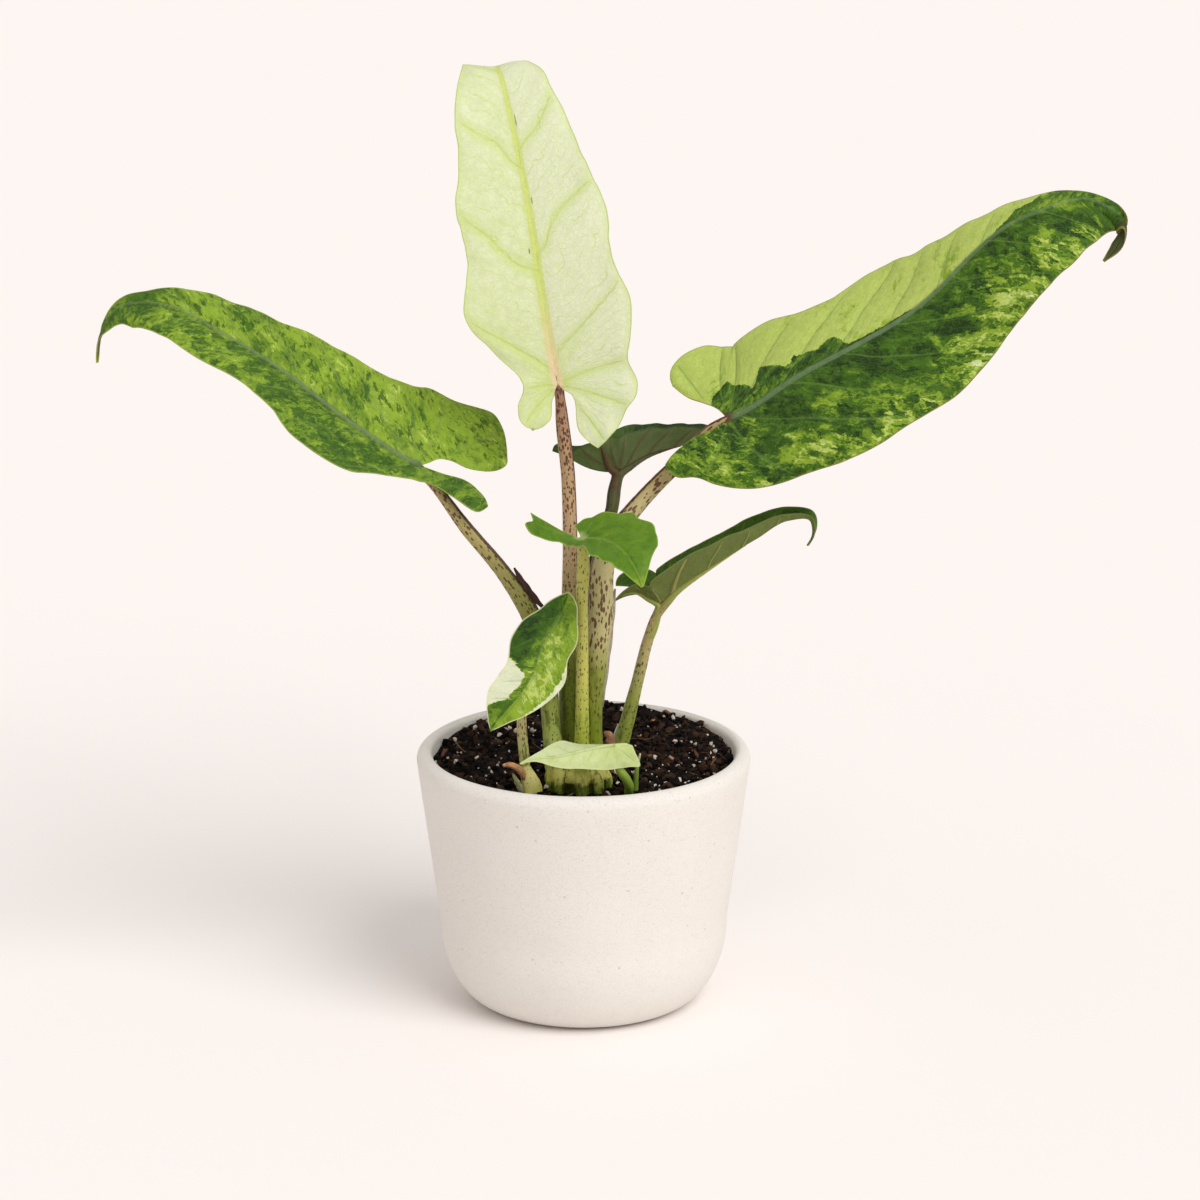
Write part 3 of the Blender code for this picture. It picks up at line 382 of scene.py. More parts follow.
# A stalk's skin: (share of its length, colour, how thickly it is speckled there), then the speckles' colour
# and how far "stretch" draws them out, how much larger they are where "coarse" is given, and the dark edge:
# (angle, half width, strength at the foot, strength at the top), with its colour.
SKINS = {
    "pale_leaf": {
        "skin": [(0, (100, 116, 18), 0.4), (0.28, (100, 112, 30), 0.5), (0.4, (168, 156, 106), 0.5),
                 (0.52, (186, 160, 124), 0.7), (0.72, (178, 148, 114), 0.86), (0.84, (170, 134, 108), 0.95),
                 (0.93, (116, 76, 56), 1.0), (1, (84, 48, 38), 1.0)],
        "speckle": (78, 40, 32), "stretch": 1.9, "edge": (0, 30, 0.3, 0.9), "edge_colour": (92, 42, 38)},
    "right_leaf": {
        "skin": [(0, (138, 150, 46), 0.35), (0.14, (118, 134, 32), 0.4), (0.26, (142, 148, 64), 0.5),
                 (0.34, (190, 182, 132), 0.72), (0.5, (190, 180, 134), 0.78), (0.72, (178, 162, 116), 0.82),
                 (1, (172, 150, 108), 0.8)],
        "speckle": (88, 44, 32), "stretch": 2.4, "coarse": 1.3, "edge": (180, 36, 0.1, 0.95),
        "edge_colour": (76, 40, 34)},
    "left_leaf": {
        "skin": [(0, (190, 198, 126), 0.4), (0.14, (166, 178, 96), 0.42), (0.24, (136, 148, 66), 0.5),
                 (0.45, (140, 140, 72), 0.6), (0.75, (172, 156, 108), 0.74), (1, (136, 112, 76), 0.8)],
        "speckle": (72, 42, 28), "stretch": 2.2, "coarse": 1.1, "edge": (0, 44, 0.15, 0.95),
        "edge_colour": (70, 44, 32)},
    "rear_leaf": {
        "skin": [(0, (92, 98, 50), 0.3), (0.6, (84, 88, 48), 0.35), (0.93, (78, 76, 44), 0.4),
                 (1, (92, 66, 46), 0.2)],
        "speckle": (44, 34, 24), "stretch": 2.0, "edge": (180, 50, 0.4, 0.9), "edge_colour": (52, 38, 28)},
    "marbled_leaf": {
        "skin": [(0, (172, 180, 104), 0.5), (0.3, (200, 186, 142), 0.7), (1, (170, 176, 112), 0.5)],
        "speckle": (112, 66, 46), "stretch": 2.6, "edge": (180, 30, 0.1, 0.3), "edge_colour": (120, 92, 62)},
    "front_leaf": {
        "skin": [(0, (156, 174, 56), 0.5), (0.2, (170, 182, 68), 0.55), (0.4, (190, 188, 98), 0.6),
                 (0.8, (184, 180, 98), 0.5), (1, (158, 172, 88), 0.3)],
        "speckle": (78, 76, 36), "stretch": 1.7, "edge": (0, 30, 0.2, 0.3), "edge_colour": (108, 116, 54)},
    "low_leaf": {
        "skin": [(0, (138, 156, 60), 0.45), (0.3, (156, 164, 82), 0.55), (0.46, (178, 166, 114), 0.7),
                 (0.6, (172, 154, 108), 0.6), (0.66, (150, 144, 84), 0.25), (0.7, (152, 156, 82), 0.1),
                 (1, (152, 156, 82), 0.05)],
        "speckle": (78, 60, 34), "stretch": 2.0, "edge": (180, 36, 0.1, 0.5), "edge_colour": (108, 82, 52)},
    "cream_leaf": {
        "skin": [(0, (136, 168, 58), 0.08), (1, (164, 192, 92), 0.05)],
        "speckle": (92, 104, 50), "stretch": 1.8, "edge": (0, 30, 0.0, 0.0), "edge_colour": (112, 140, 60)},
    "offset_bulb": {
        "skin": [(0, (120, 124, 60), 0.2), (0.45, (226, 220, 126), 0.3), (0.75, (240, 232, 160), 0.3),
                 (1, (200, 198, 118), 0.3)],
        "speckle": (62, 44, 26), "stretch": 1.3, "edge": (180, 56, 0.75, 0.5), "edge_colour": (132, 100, 60)},
    "right_sprout": {
        "skin": [(0, (112, 140, 52), 0.1), (0.5, (126, 152, 62), 0.25), (0.85, (150, 170, 92), 0.1),
                 (1, (222, 226, 190), 0.0)],
        "speckle": (78, 66, 36), "stretch": 1.6, "edge": (180, 60, 0.1, 0.3), "edge_colour": (124, 110, 64)},
    "white_spear": {
        "skin": [(0, (190, 196, 150), 0.0), (0.6, (222, 224, 204), 0.0), (1, (238, 238, 228), 0.0)],
        "speckle": (150, 140, 110), "stretch": 1.6, "edge": (0, 40, 0.0, 0.0),
        "edge_colour": (190, 190, 150)},
    # The rootstock's tint and speckling come from its stalks and its own shape
    # Its edge colour is that of the painted shade where its stalks meet and under its crown, and of its
    # darkening near the soil
    "rootstock": {"speckle": (58, 50, 26), "stretch": 1.2, "edge_colour": (26, 20, 11)},
}
# The young shoots and the curled scale, as (x, y, z, radius) from their foot
SPROUT = [(21.8, -26.5, 92, 1.1), (21.8, -26.5, 100, 1.1), (22, -28, 107, 1.0), (22.6, -29, 112, 0.7),
          (23.6, -29.5, 116.5, 0.35)]
CURLED_SCALE = [(-24.6, -31.6, 106.0, 0.9), (-25.2, -32.0, 108.6, 1.3), (-26.8, -32.2, 110.8, 1.3),
                (-29.4, -32.2, 112.2, 1.15), (-31.8, -32, 112.4, 0.95), (-33.4, -31.8, 112.0, 0.6)]
SPEAR = [(11.6, 6, 96, 1.1), (11.8, 6, 104, 1.1), (13, 5.5, 111, 1.0), (13.8, 5.2, 115.4, 0.7),
         (14.6, 5, 118.5, 0.3)]
CURLED_SCALE_COLOUR = (222, 164, 112)

# The rootstock's crown: its middle, how much shallower than wide it is, and its rings as (radius, height
# above the solid's top). Its tints are (share, height where they start, height where they are full, colour).
CROWN_MIDDLE, CROWN_OVAL = (-2.0, -21.8), 0.9
CROWN_RINGS = [(0.8, -34), (6.0, -34), (9.6, -29), (10.4, -20), (10.4, -10), (10.4, 3.4), (11.9, 5.2),
               (12.5, 7.2), (12.1, 9.4), (10.4, 11.4), (6.4, 12.8), (0.8, 13.2)]
CROWN_TINTS = [(0.95, 113, 106, (214, 208, 118)), (0.8, 106.0, 102.4, (134, 164, 52))]
# The stalks that grow from it, how much thicker a stalk's sheath is at a height over its foot, the root
# stubs as (angle, distance from the middle, radius), and their shape as (further out, height, share)
FOOT_STALKS = ("pale_leaf", "right_leaf", "left_leaf", "rear_leaf", "front_leaf")
SHEATH_GROWTH = [(0, 0.6), (6, 0.5), (12, 0.3), (18, 0.1), (24, -0.2), (30, -0.7)]
ROOT_STUBS = [(-158, 12.9, 1.9), (-128, 12.9, 2.2), (-84, 12.9, 2.5), (-50, 12.9, 2.4), (-12, 12.6, 2.1),
              (30, 12.4, 2.3), (76, 12.4, 2.2), (122, 12.4, 2.3), (168, 12.6, 2.1)]
STUB_PROFILE = [(-2.0, 107.4, 0.8), (-0.6, 104.6, 1.05), (0, 101, 0.95), (0.5, 96, 0.9), (0.8, 90, 0.8)]
# The offset bulb: its centre, how far its neck leans, and its (radius, height) from the foot up
BULB_CENTRE, BULB_LEAN = (-21.3, -29.6), 3.0
BULB_PROFILE = [(0.8, 90.6), (2.6, 92), (3.9, 95), (4.5, 98.6), (4.2, 102.6), (3.4, 106), (2.6, 109),
                (2.1, 110.8), (1.6, 112.4)]
SCALE_THICKNESS = 0.35
# Dry scales: their CAD node, route of (x, y, z, half width), the way they face, curl, colour and slot
SCALES = {
    "left_stalk_scale": ([(-28.4, -21.4, 194.4, 0.4), (-25.4, -22, 189.8, 1.3), (-20.6, -22.6, 183.2, 1.5),
                          (-16.2, -23, 177.6, 0.7)], (0.6, -0.7, 0.5), 60, (74, 44, 34), "dark_scale"),
    "right_stalk_sheath": ([(13.2, -16.8, 184, 0.5), (12.3, -17.8, 174, 2.0), (10.6, -19.2, 158, 2.4),
                            (9.2, -20, 146, 2.0), (8.0, -20.6, 134, 0.5)], (0.8, -0.6, 0.1), 40,
                           (186, 176, 152), "dry_sheath"),
    "brown_scale_right": ([(12.0, -16.2, 104, 1.0), (12.6, -16.6, 111, 1.7), (12.4, -17, 117, 2.1),
                           (10.8, -17.8, 121.2, 1.9), (8.6, -18.6, 121.6, 0.8)], (0.6, -0.7, 0.4), 75,
                          (166, 116, 84), "brown_scale"),
    "green_scale": ([(-29.4, -33.8, 109.4, 0.2), (-28.0, -33.8, 106, 1.1), (-26.6, -33.4, 102.6, 1.5),
                     (-26.0, -33, 100.6, 1.2)], (-0.5, -0.8, 0.2), 60, (204, 204, 146), "green_scale"),
}


def srgb(red, green, blue):
    """A colour as a painter mixes it, 0 to 255, turned into the linear values that a shader takes."""
    shares = (channel / 255 for channel in (red, green, blue))
    return tuple(c / 12.92 if c <= 0.04045 else ((c + 0.055) / 1.055) ** 2.4 for c in shares)


def shaded(mixed, share):
    """A painter's colour made darker, or lighter where the share is above 1."""
    return srgb(*(min(255, share * channel) for channel in mixed))


# ---------------------------------------------------------------- settings

def colour(name, description, default):
    return FloatVectorProperty(name=name, description=description, default=srgb(*default), min=0, max=1,
                               size=3, subtype="COLOR")


def length(name, description, default_mm, lowest_mm=0.0, highest_mm=1000.0):
    return FloatProperty(name=name, description=description, default=default_mm * MM, min=lowest_mm * MM,
                         max=highest_mm * MM, unit="LENGTH", subtype="DISTANCE")


def amount(name, description, default, lowest, highest, **unit):
    return FloatProperty(name=name, description=description, default=default, min=lowest, max=highest, **unit)


def count(name, description, default, lowest, highest):
    return IntProperty(name=name, description=description, default=default, min=lowest, max=highest)


class StonewareSettings(bpy.types.PropertyGroup):
    """The pot's finish."""

    glaze: colour("Glaze", "Main colour of the matte glaze", (231, 226, 219))
    sand: colour("Sand", "Colour of the sand grains that show through", (204, 194, 184))
    grain: length("Grain", "Size of the sand grains in the glaze", 0.75, 0.1, 10)
    unevenness: length("Unevenness", "How far the hand-finished wall strays from round", 0.18, 0, 2)
    steps: count("Steps", "Facets round the pot", 168, 24, 360)


class SoilSettings(bpy.types.PropertyGroup):
    """The potting mix."""

    peat: colour("Peat", "Colour of the darkest crumbs", (10, 6, 4))
    humus: colour("Humus", "Colour of the lighter crumbs", (66, 45, 31))
    bark: colour("Bark", "Colour of the bark chips", (176, 130, 94))
    perlite: colour("Perlite", "Colour of the white grains", (236, 228, 218))
    crumb: length("Crumb", "Typical radius of a crumb of soil", 0.86, 0.3, 6)
    crumbs: count("Crumbs", "Loose crumbs on the surface", 3900, 0, 4000)
    chips: count("Bark chips", "Bark chips on the surface", 90, 0, 400)
    grains: count("Perlite grains", "White grains on the surface", 360, 0, 800)
    fibres: count("Fibres", "Root fibres on the surface", 70, 0, 400)
    seed: count("Seed", "Changes where the crumbs lie", 7, 0, 9999)


class BladeSettings(bpy.types.PropertyGroup):
    """The leaf blades."""

    deep_green: colour("Deep green", "Colour of the darkest marbling", (27, 53, 12))
    leaf_green: colour("Leaf green", "Colour of the plain green marbling", (66, 102, 22))
    yellow_green: colour("Yellow green", "Colour of the bright marbling", (136, 164, 46))
    pale_green: colour("Pale green", "Colour of the pale halves", (186, 202, 104))
    cream: colour("Cream", "Colour of the nearly white parts", (221, 225, 195))
    fresh_green: colour("Fresh green", "Colour of the young plain leaves", (90, 128, 26))
    thickness: length("Thickness", "Thickness of a blade", 0.7, 0.2, 3)
    veins: amount("Vein relief", "How strongly the veins are pressed in", 1.0, 0, 3, subtype="FACTOR")


class StalkSettings(bpy.types.PropertyGroup):
    """The leaf stalks."""

    speckles: amount("Speckles", "Share of the skin that is speckled", 1.0, 0, 2, subtype="FACTOR")
    speckle_size: length("Speckle size", "Width of one speckle", 0.75, 0.2, 5)
    sides: count("Sides", "Facets round a stalk", 28, 8, 64)
    fuse: length("Fusing", "Grain at which the foot of the stalks is fused", 0.5, 0.3, 2)


class StageSettings(bpy.types.PropertyGroup):
    """The floor, light and camera."""

    floor: colour("Floor", "Colour of the floor", (249, 243, 240))
    surround: amount("Surround", "Brightness of the studio round the plant", 0.66, 0, 5)
    key: amount("Key light", "Strength of the soft light from the front right", 1.75, 0, 20)
    lens: amount("Lens", "Focal length of the camera in millimetres", 153.0, 20, 400)
    tilt: amount("Tilt", "How far the camera looks down", math.radians(16.2), 0, math.pi / 2, unit="ROTATION")


# ---------------------------------------------------------------- materials

def arithmetic(operation, reflected=False):
    """An operator of Signal, which adds one Math node."""

    def add_node(self, other):
        inputs = (other, self) if reflected else (self, other)
        return self.maths(operation, *inputs)

    return add_node


class Signal:
    """A socket's output, with the arithmetic that shader maths needs."""

    def __init__(self, finish, socket):
        self.finish = finish
        self.socket = socket

    def maths(self, operation, *inputs):
        return self.finish.node("ShaderNodeMath", {"operation": operation}, dict(enumerate(inputs)))

    __add__ = arithmetic("ADD")
    __radd__ = arithmetic("ADD", reflected=True)
    __sub__ = arithmetic("SUBTRACT")
    __rsub__ = arithmetic("SUBTRACT", reflected=True)
    __mul__ = arithmetic("MULTIPLY")
    __rmul__ = arithmetic("MULTIPLY", reflected=True)
    __truediv__ = arithmetic("DIVIDE")

    def __abs__(self):
        return self.maths("ABSOLUTE", self)

    def from_whole(self):
        """How far a number is from the nearest whole one."""
        return self.maths("PINGPONG", self, 0.5)

    def twin(self, output):
        """Another output of the same node."""
        return Signal(self.finish, self.socket.node.outputs[output])


class Finish:
    """A material that is put together node by node."""

    def __init__(self, name):
        self.material = bpy.data.materials.new(name)
        self.material.use_nodes = True
        self.tree = self.material.node_tree
        self.tree.nodes.clear()

    def node(self, kind, settings=None, inputs=None, output=0):
        """Adds a node: its settings first, then the values and links of its sockets."""
        made = self.tree.nodes.new(kind)
        for name, value in (settings or {}).items():
            if name == "stops":
                ramp = made.color_ramp
                while len(ramp.elements) < len(value):
                    ramp.elements.new(1)
                for element, (place, shade) in zip(ramp.elements, value):
                    element.position = place
                    element.color = (*shade, 1)
            else:
                setattr(made, name, value)
        for name, value in (inputs or {}).items():
            socket = made.inputs[name]
            if isinstance(value, Signal):
                self.tree.links.new(value.socket, socket)
            elif isinstance(value, tuple) and socket.type == "RGBA":
                socket.default_value = (*value[:3], 1)
            else:
                socket.default_value = value
        return Signal(self, made.outputs[output]) if made.outputs else None

    def attribute(self, name, output="Fac"):
        return self.node("ShaderNodeAttribute", {"attribute_name": name}, output=output)

    def attributes(self, *names):
        return [self.attribute(name) for name in names]

    def place(self):
        return self.node("ShaderNodeTexCoord", output="Object")

    def parts(self, vector):
        """The three numbers of a vector."""
        first = self.node("ShaderNodeSeparateXYZ", inputs={0: vector})
        return [first.twin(axis) for axis in "XYZ"]

    def vector(self, x, y, z=0.0):
        return self.node("ShaderNodeCombineXYZ", inputs={0: x, 1: y, 2: z})

    def vector_maths(self, operation, *inputs, output=0):
        return self.node("ShaderNodeVectorMath", {"operation": operation}, dict(enumerate(inputs)), output)

    def length_of(self, vector):
        return self.vector_maths("LENGTH", vector, output="Value")

    def drawn_out(self, vector, share):
        """Draws a pattern out lengthwise: it goes by at only a share of its pace along the third axis."""
        return self.vector_maths("MULTIPLY", vector, (1.0, 1.0, share))

    def stirred(self, vector, swirl, reach):
        """Shifts flat places by a noise's colour, up to a reach."""
        return self.vector_maths("MULTIPLY_ADD", swirl, (reach, reach, 0.0), vector)

    def noise(self, vector, scale, detail=3.0, roughness=0.55, distortion=0.0, output="Fac"):
        return self.node("ShaderNodeTexNoise", {"noise_dimensions": "3D"},
                         {"Vector": vector, "Scale": scale, "Detail": detail, "Roughness": roughness,
                          "Distortion": distortion}, output)

    def cells(self, vector, scale, feature="F1", output="Distance"):
        return self.node("ShaderNodeTexVoronoi", {"voronoi_dimensions": "3D", "feature": feature},
                         {"Vector": vector, "Scale": scale}, output)

    def rise(self, value, low, high):
        """0 below low, 1 above high, smooth between. Falls where low is above high."""
        return self.node("ShaderNodeMapRange", {"interpolation_type": "SMOOTHSTEP"},
                         {"Value": value, "From Min": low, "From Max": high})

    def ramp(self, value, stops):
        return self.node("ShaderNodeValToRGB", {"stops": stops}, {"Fac": value})

    def blend(self, share, first, second, mode="MIX"):
        return self.node("ShaderNodeMix", {"data_type": "RGBA", "blend_type": mode, "clamp_factor": True},
                         {0: share, 6: first, 7: second}, 2)

    def coats(self, base, *coats):
        """Lays coats over a base. Each is (share, colour), and may end in the way that it mixes."""
        for share, *coat in coats:
            base = self.blend(share, base, *coat)
        return base

    def bump(self, height, distance, strength=0.8):
        return self.node("ShaderNodeBump", inputs={"Height": height, "Distance": distance,
                                                   "Strength": strength})

    def surface(self, base, rough, shine, **others):
        """Ends the material in its shader and returns it. The others are sockets named like Coat_Weight."""
        inputs = {"Base Color": base, "Roughness": rough, "Specular IOR Level": shine}
        inputs.update({name.replace("_", " "): value for name, value in others.items()})
        shader = self.node("ShaderNodeBsdfPrincipled", inputs=inputs)
        self.node("ShaderNodeOutputMaterial", inputs={"Surface": shader})
        return self.material


def stoneware_finish(settings):
    """Matte off-white glaze over sandy clay, with pits and a few iron specks."""
    f = Finish("stoneware")
    place = f.place()
    grain = f.noise(place, 1 / settings.grain, 3, 0.6)
    clouds = f.noise(place, 28.0, 3, 0.5)
    sand, pits, iron = (f.rise(f.cells(place, scale / settings.grain), outer, inner) for scale, outer, inner
                        in ((0.9, 0.36, 0.12), (0.42, 0.16, 0.05), (0.09, 0.085, 0.045)))
    base = f.coats(tuple(settings.glaze),
                   (f.rise(grain, 0.42, 0.68) * 0.22 + sand * 0.16, tuple(settings.sand)),
                   (f.rise(clouds, 0.35, 0.7) * 0.3, srgb(236, 231, 224)),
                   (pits * 0.25, srgb(168, 158, 148)),
                   (iron * 0.32, srgb(150, 138, 124)))
    height = grain * 0.7 - pits * 0.8 + sand * 0.3
    return f.surface(base, f.rise(grain, 0.3, 0.8) * 0.12 + 0.78, 0.3, Normal=f.bump(height, 0.00022))


def soil_finish(settings):
    """Moist peat: nearly black, with browner crumbs, small painted glints of light and a damp sheen in
    places.
    """
    f = Finish("potting_mix")
    place = f.place()
    patches = f.noise(place, 160.0, 3, 0.6)
    fine = f.noise(place, 900.0, 4, 0.65)
    warm = f.rise(f.attribute("shade") * 0.6 + patches * 0.35 + fine * 0.3, 0.5, 0.98)
    # Browner crumbs over the peat, then small painted glints of light where the fine noise peaks
    base = f.coats(tuple(settings.peat), (warm, tuple(settings.humus)),
                   (f.rise(fine, 0.64, 0.76) * 0.45, srgb(118, 88, 62)))
    rough = 0.92 - f.rise(patches, 0.5, 0.75) * 0.45
    return f.surface(base, rough, 0.17, Normal=f.bump(fine, 0.0006, 0.9))


def loose_finish(name, first, second, rough, scale, height):
    """Bark, perlite or fibre: two colours that differ from piece to piece and within each."""
    f = Finish(name)
    grain = f.noise(f.place(), scale, 4, 0.6)
    share = f.rise(f.attribute("shade") * 0.6 + grain * 0.5, 0.3, 0.9)
    return f.surface(f.blend(share, first, second), rough, 0.3, Normal=f.bump(grain, height))


def halfway(first, second):
    return tuple((a + b) / 2 for a, b in zip(first, second))


def marbling(f, place, streaks, look, settings):
    """Tones from deep green to cream in clouds, blots, torn panes, a fine mosaic and thin bright strokes."""
    tone, bright, pane_gap, pane_tone = f.attributes("tone", "bright", "pane_gap", "pane_tone")
    size = look["fleck"]
    clouds = f.noise(place, 0.26 / size, 3, 0.55, 0.8)
    wander = f.stirred(streaks, f.noise(place, 0.55 / size, output="Color"), 2.6 * size)
    crumpled = f.stirred(wander, f.noise(streaks, 2.2 / size, 3, 0.6, output="Color"), 1.5 * size)
    ragged = f.noise(wander, 1.1 / size, 4, 0.66, 0.5)
    fine = f.noise(wander, 3.2 / size, 3, 0.6)
    blot, _, _ = f.parts(f.cells(wander, 0.36 / size, output="Color"))
    piece, chance, _ = f.parts(f.cells(crumpled, 1.25 / size, output="Color"))
    lines = f.cells(crumpled, 0.5 / size, "DISTANCE_TO_EDGE")
    strokes = f.rise(lines, 0.17, 0.09) * f.rise(fine * 0.5 + clouds * 0.5, 0.44, 0.54)

    inside = f.rise(pane_gap + (ragged - 0.5) * 3.4 + (fine - 0.5) * 1.4, -0.2, 0.2)
    tone = tone + (pane_tone - tone) * inside
    calm = f.rise(tone, 0.64, 0.44) * 0.6 + 0.4
    gaps, blots, flecks, mosaic = look["break_up"]
    uneven = (clouds - 0.5) * (2 * gaps) + (blot - 0.5) * blots + (ragged - 0.5) * (2 * flecks)
    uneven = uneven + (piece - 0.42) * mosaic * (bright * 1.5 + 0.3) + (fine - 0.5) * flecks
    level = tone + calm * (uneven + strokes * bright * (0.9 * mosaic))
    deep, leaf, yellow, pale, cream = (tuple(getattr(settings, key)) for key in
                                       ("deep_green", "leaf_green", "yellow_green", "pale_green", "cream"))
    dark, mid = halfway(deep, leaf), halfway(leaf, yellow)
    steps = [(0.0, 0.12, deep), (0.155, 0.23, dark), (0.265, 0.36, leaf), (0.395, 0.46, mid),
             (0.495, 0.59, yellow), (0.65, 0.79, pale), (0.95, 1.0, cream)]
    colours = f.ramp(level, [(edge, shade) for low, high, shade in steps for edge in (low, high)])
    if "fresh" in look:
        colours = f.blend(look["fresh"] * f.rise(level, 0.6, 0.42), colours, tuple(settings.fresh_green))
    if "dots" in look:
        dots = f.rise(chance, 0.74, 0.78) * f.rise(clouds * 0.5 + ragged * 0.5, 0.53, 0.48)
        colours = f.blend(dots * look["dots"], colours, dark)
    return colours, clouds


def blade_finish(name, look, settings, across_slope):
    """Leaf skin: marbling, midrib, laterals with a fine net between them, margin and underside."""
    f = Finish(name)
    place = f.attribute("blade_place", "Vector")
    out, ahead, _ = f.parts(place)
    across = abs(out)
    under, phase, pitch, fade = f.attributes("underside", "vein_phase", "vein_pitch", "vein_fade")
    rim, rib_width = f.attributes("rim_gap", "rib_width")

    waver = f.noise(place, 0.11, 2) - 0.5
    lateral = phase.from_whole() * pitch
    minor = (phase * 4 + waver * 1.6).from_whole() * pitch * 0.25
    finest = (phase * 11 + waver * 2.2).from_whole() * pitch * 0.09
    side = out.maths("SIGN", out)
    streaks = f.vector(across * 0.72, ahead - across * (0.55 * across_slope), side * 40)
    upper, clouds = marbling(f, place, streaks, look, settings)
    cloud = f.noise(place, 0.3, 3, 0.6)

    wiggle = f.stirred(place, f.noise(place, 0.5, 2, output="Color"), 1.8)
    net = f.rise(f.cells(wiggle, 0.42, "DISTANCE_TO_EDGE"), 0.07, 0.0) * f.rise(cloud, 0.3, 0.6)
    fine_net = f.rise(f.cells(wiggle, 1.3, "DISTANCE_TO_EDGE"), 0.1, 0.0)
    width = fade * 0.36 + 0.14
    present = f.rise(fade, 0.0, 0.2)
    line = f.rise(lateral / width, 1.6, 0.7) * present
    hair = f.rise(minor / width, 1.0, 0.3) * f.rise(fade, 0.1, 0.5) * f.rise(clouds, 0.35, 0.6)
    hair = hair + f.rise(finest, 0.16, 0.04) * f.rise(clouds, 0.62, 0.45) * f.rise(rim, 1.0, 6.0) * 0.6
    halo = f.rise(lateral, 4.5, 0.2) * f.rise(rim, 0.5, 3.0)
    from_rib = across / rib_width
    rib = f.rise(from_rib, 1.05, 0.7)
    beside_rib_shade = f.rise(from_rib, 1.9, 1.1) * (1 - rib)
    streaked_rib = f.blend(f.rise(cloud, 0.3, 0.7) * 0.6 + f.rise(from_rib, 0.4, 0.15) * 0.4,
                           shaded(look["rib"], look.get("rib_shade", 0.84)), srgb(*look["rib"]))
    vein = srgb(*look["vein"])
    upper = f.coats(upper,
                    (f.rise(cloud, 0.35, 0.7) * 0.16, srgb(230, 236, 200), "SOFT_LIGHT"),
                    (f.rise(cloud, 0.6, 0.25) * 0.25, srgb(40, 52, 30), "SOFT_LIGHT"),
                    (halo * look["halo"] + f.rise(rim, 3.5, 0.5) * (look["halo"] * 0.7), vein),
                    (net * (look["net"] * 0.8) + fine_net * (look["net"] * 0.3), vein),
                    (hair * look["hair"], vein),
                    (line * look["vein_strength"], vein),
                    # Painted shade in the hollow beside the midrib, as a darker rib colour
                    (beside_rib_shade * look.get("groove_shade", 0.3), shaded(look["rib"], 0.68)),
                    (rib * (f.rise(rib_width, 0.4, 1.3) * 0.6 + 0.25), streaked_rib))
    if "rib_foot" in look:
        upper = f.blend(rib * f.rise(ahead, 44, 6) * 0.9, upper, srgb(*look["rib_foot"]))
    if "blush" in look:
        joint = f.rise(f.length_of(place) + cloud * 3, 6.0, 2.5)
        upper = f.blend(joint * 0.8, upper, srgb(*look["blush"]))

    under_vein = srgb(*look["under_vein"])
    under_line = f.rise(lateral / width, 1.2, 0.55) * present
    shadow = f.rise(lateral / width, 3.2, 1.0) * (1 - under_line)
    lower = f.coats(srgb(*look["under"]),
                    (f.rise(cloud, 0.3, 0.7) * 0.35, shaded(look["under"], 0.84)),
                    (0.25, upper),
                    (net * 0.22 + hair * look["hair"], under_vein),
                    (under_line * 0.75, under_vein),
                    (shadow * 0.35, shaded(look["under"], 0.55)),
                    (rib * 0.9, under_vein))
    base = f.blend(under, upper, lower)
    if "tip" in look:
        start, shade = look["tip"]
        base = f.blend(f.rise(ahead + (cloud - 0.5) * 6, start, start + 5) * 0.85, base, srgb(*shade))
    base = f.blend(f.rise(rim, 0.6, 0.25) * 0.75, base, srgb(*look["rim"]))
    for centre_out, centre_ahead, half_width, half_length in look.get("scars", []):
        reach = f.length_of(f.vector((out - centre_out) / half_width, (ahead - centre_ahead) / half_length))
        base = f.blend(f.rise(reach + (cloud - 0.5) * 0.8, 1.1, 0.6) * 0.75, base, srgb(*SCAR))

    height = (cloud * 0.5 - line * 0.5 - hair * 0.25 - net * 0.22 - fine_net * 0.12
              + f.rise(lateral, 0.2, 3.0) * 0.3)
    rough = f.rise(cloud, 0.2, 0.8) * 0.1 + (look["rough"] - 0.05) + under * 0.12
    return f.surface(base, rough, 0.14, Normal=f.bump(height, 0.00035), Subsurface_Weight=look["glow"],
                     Subsurface_Scale=0.001, Subsurface_Radius=(0.9, 1.0, 0.55))


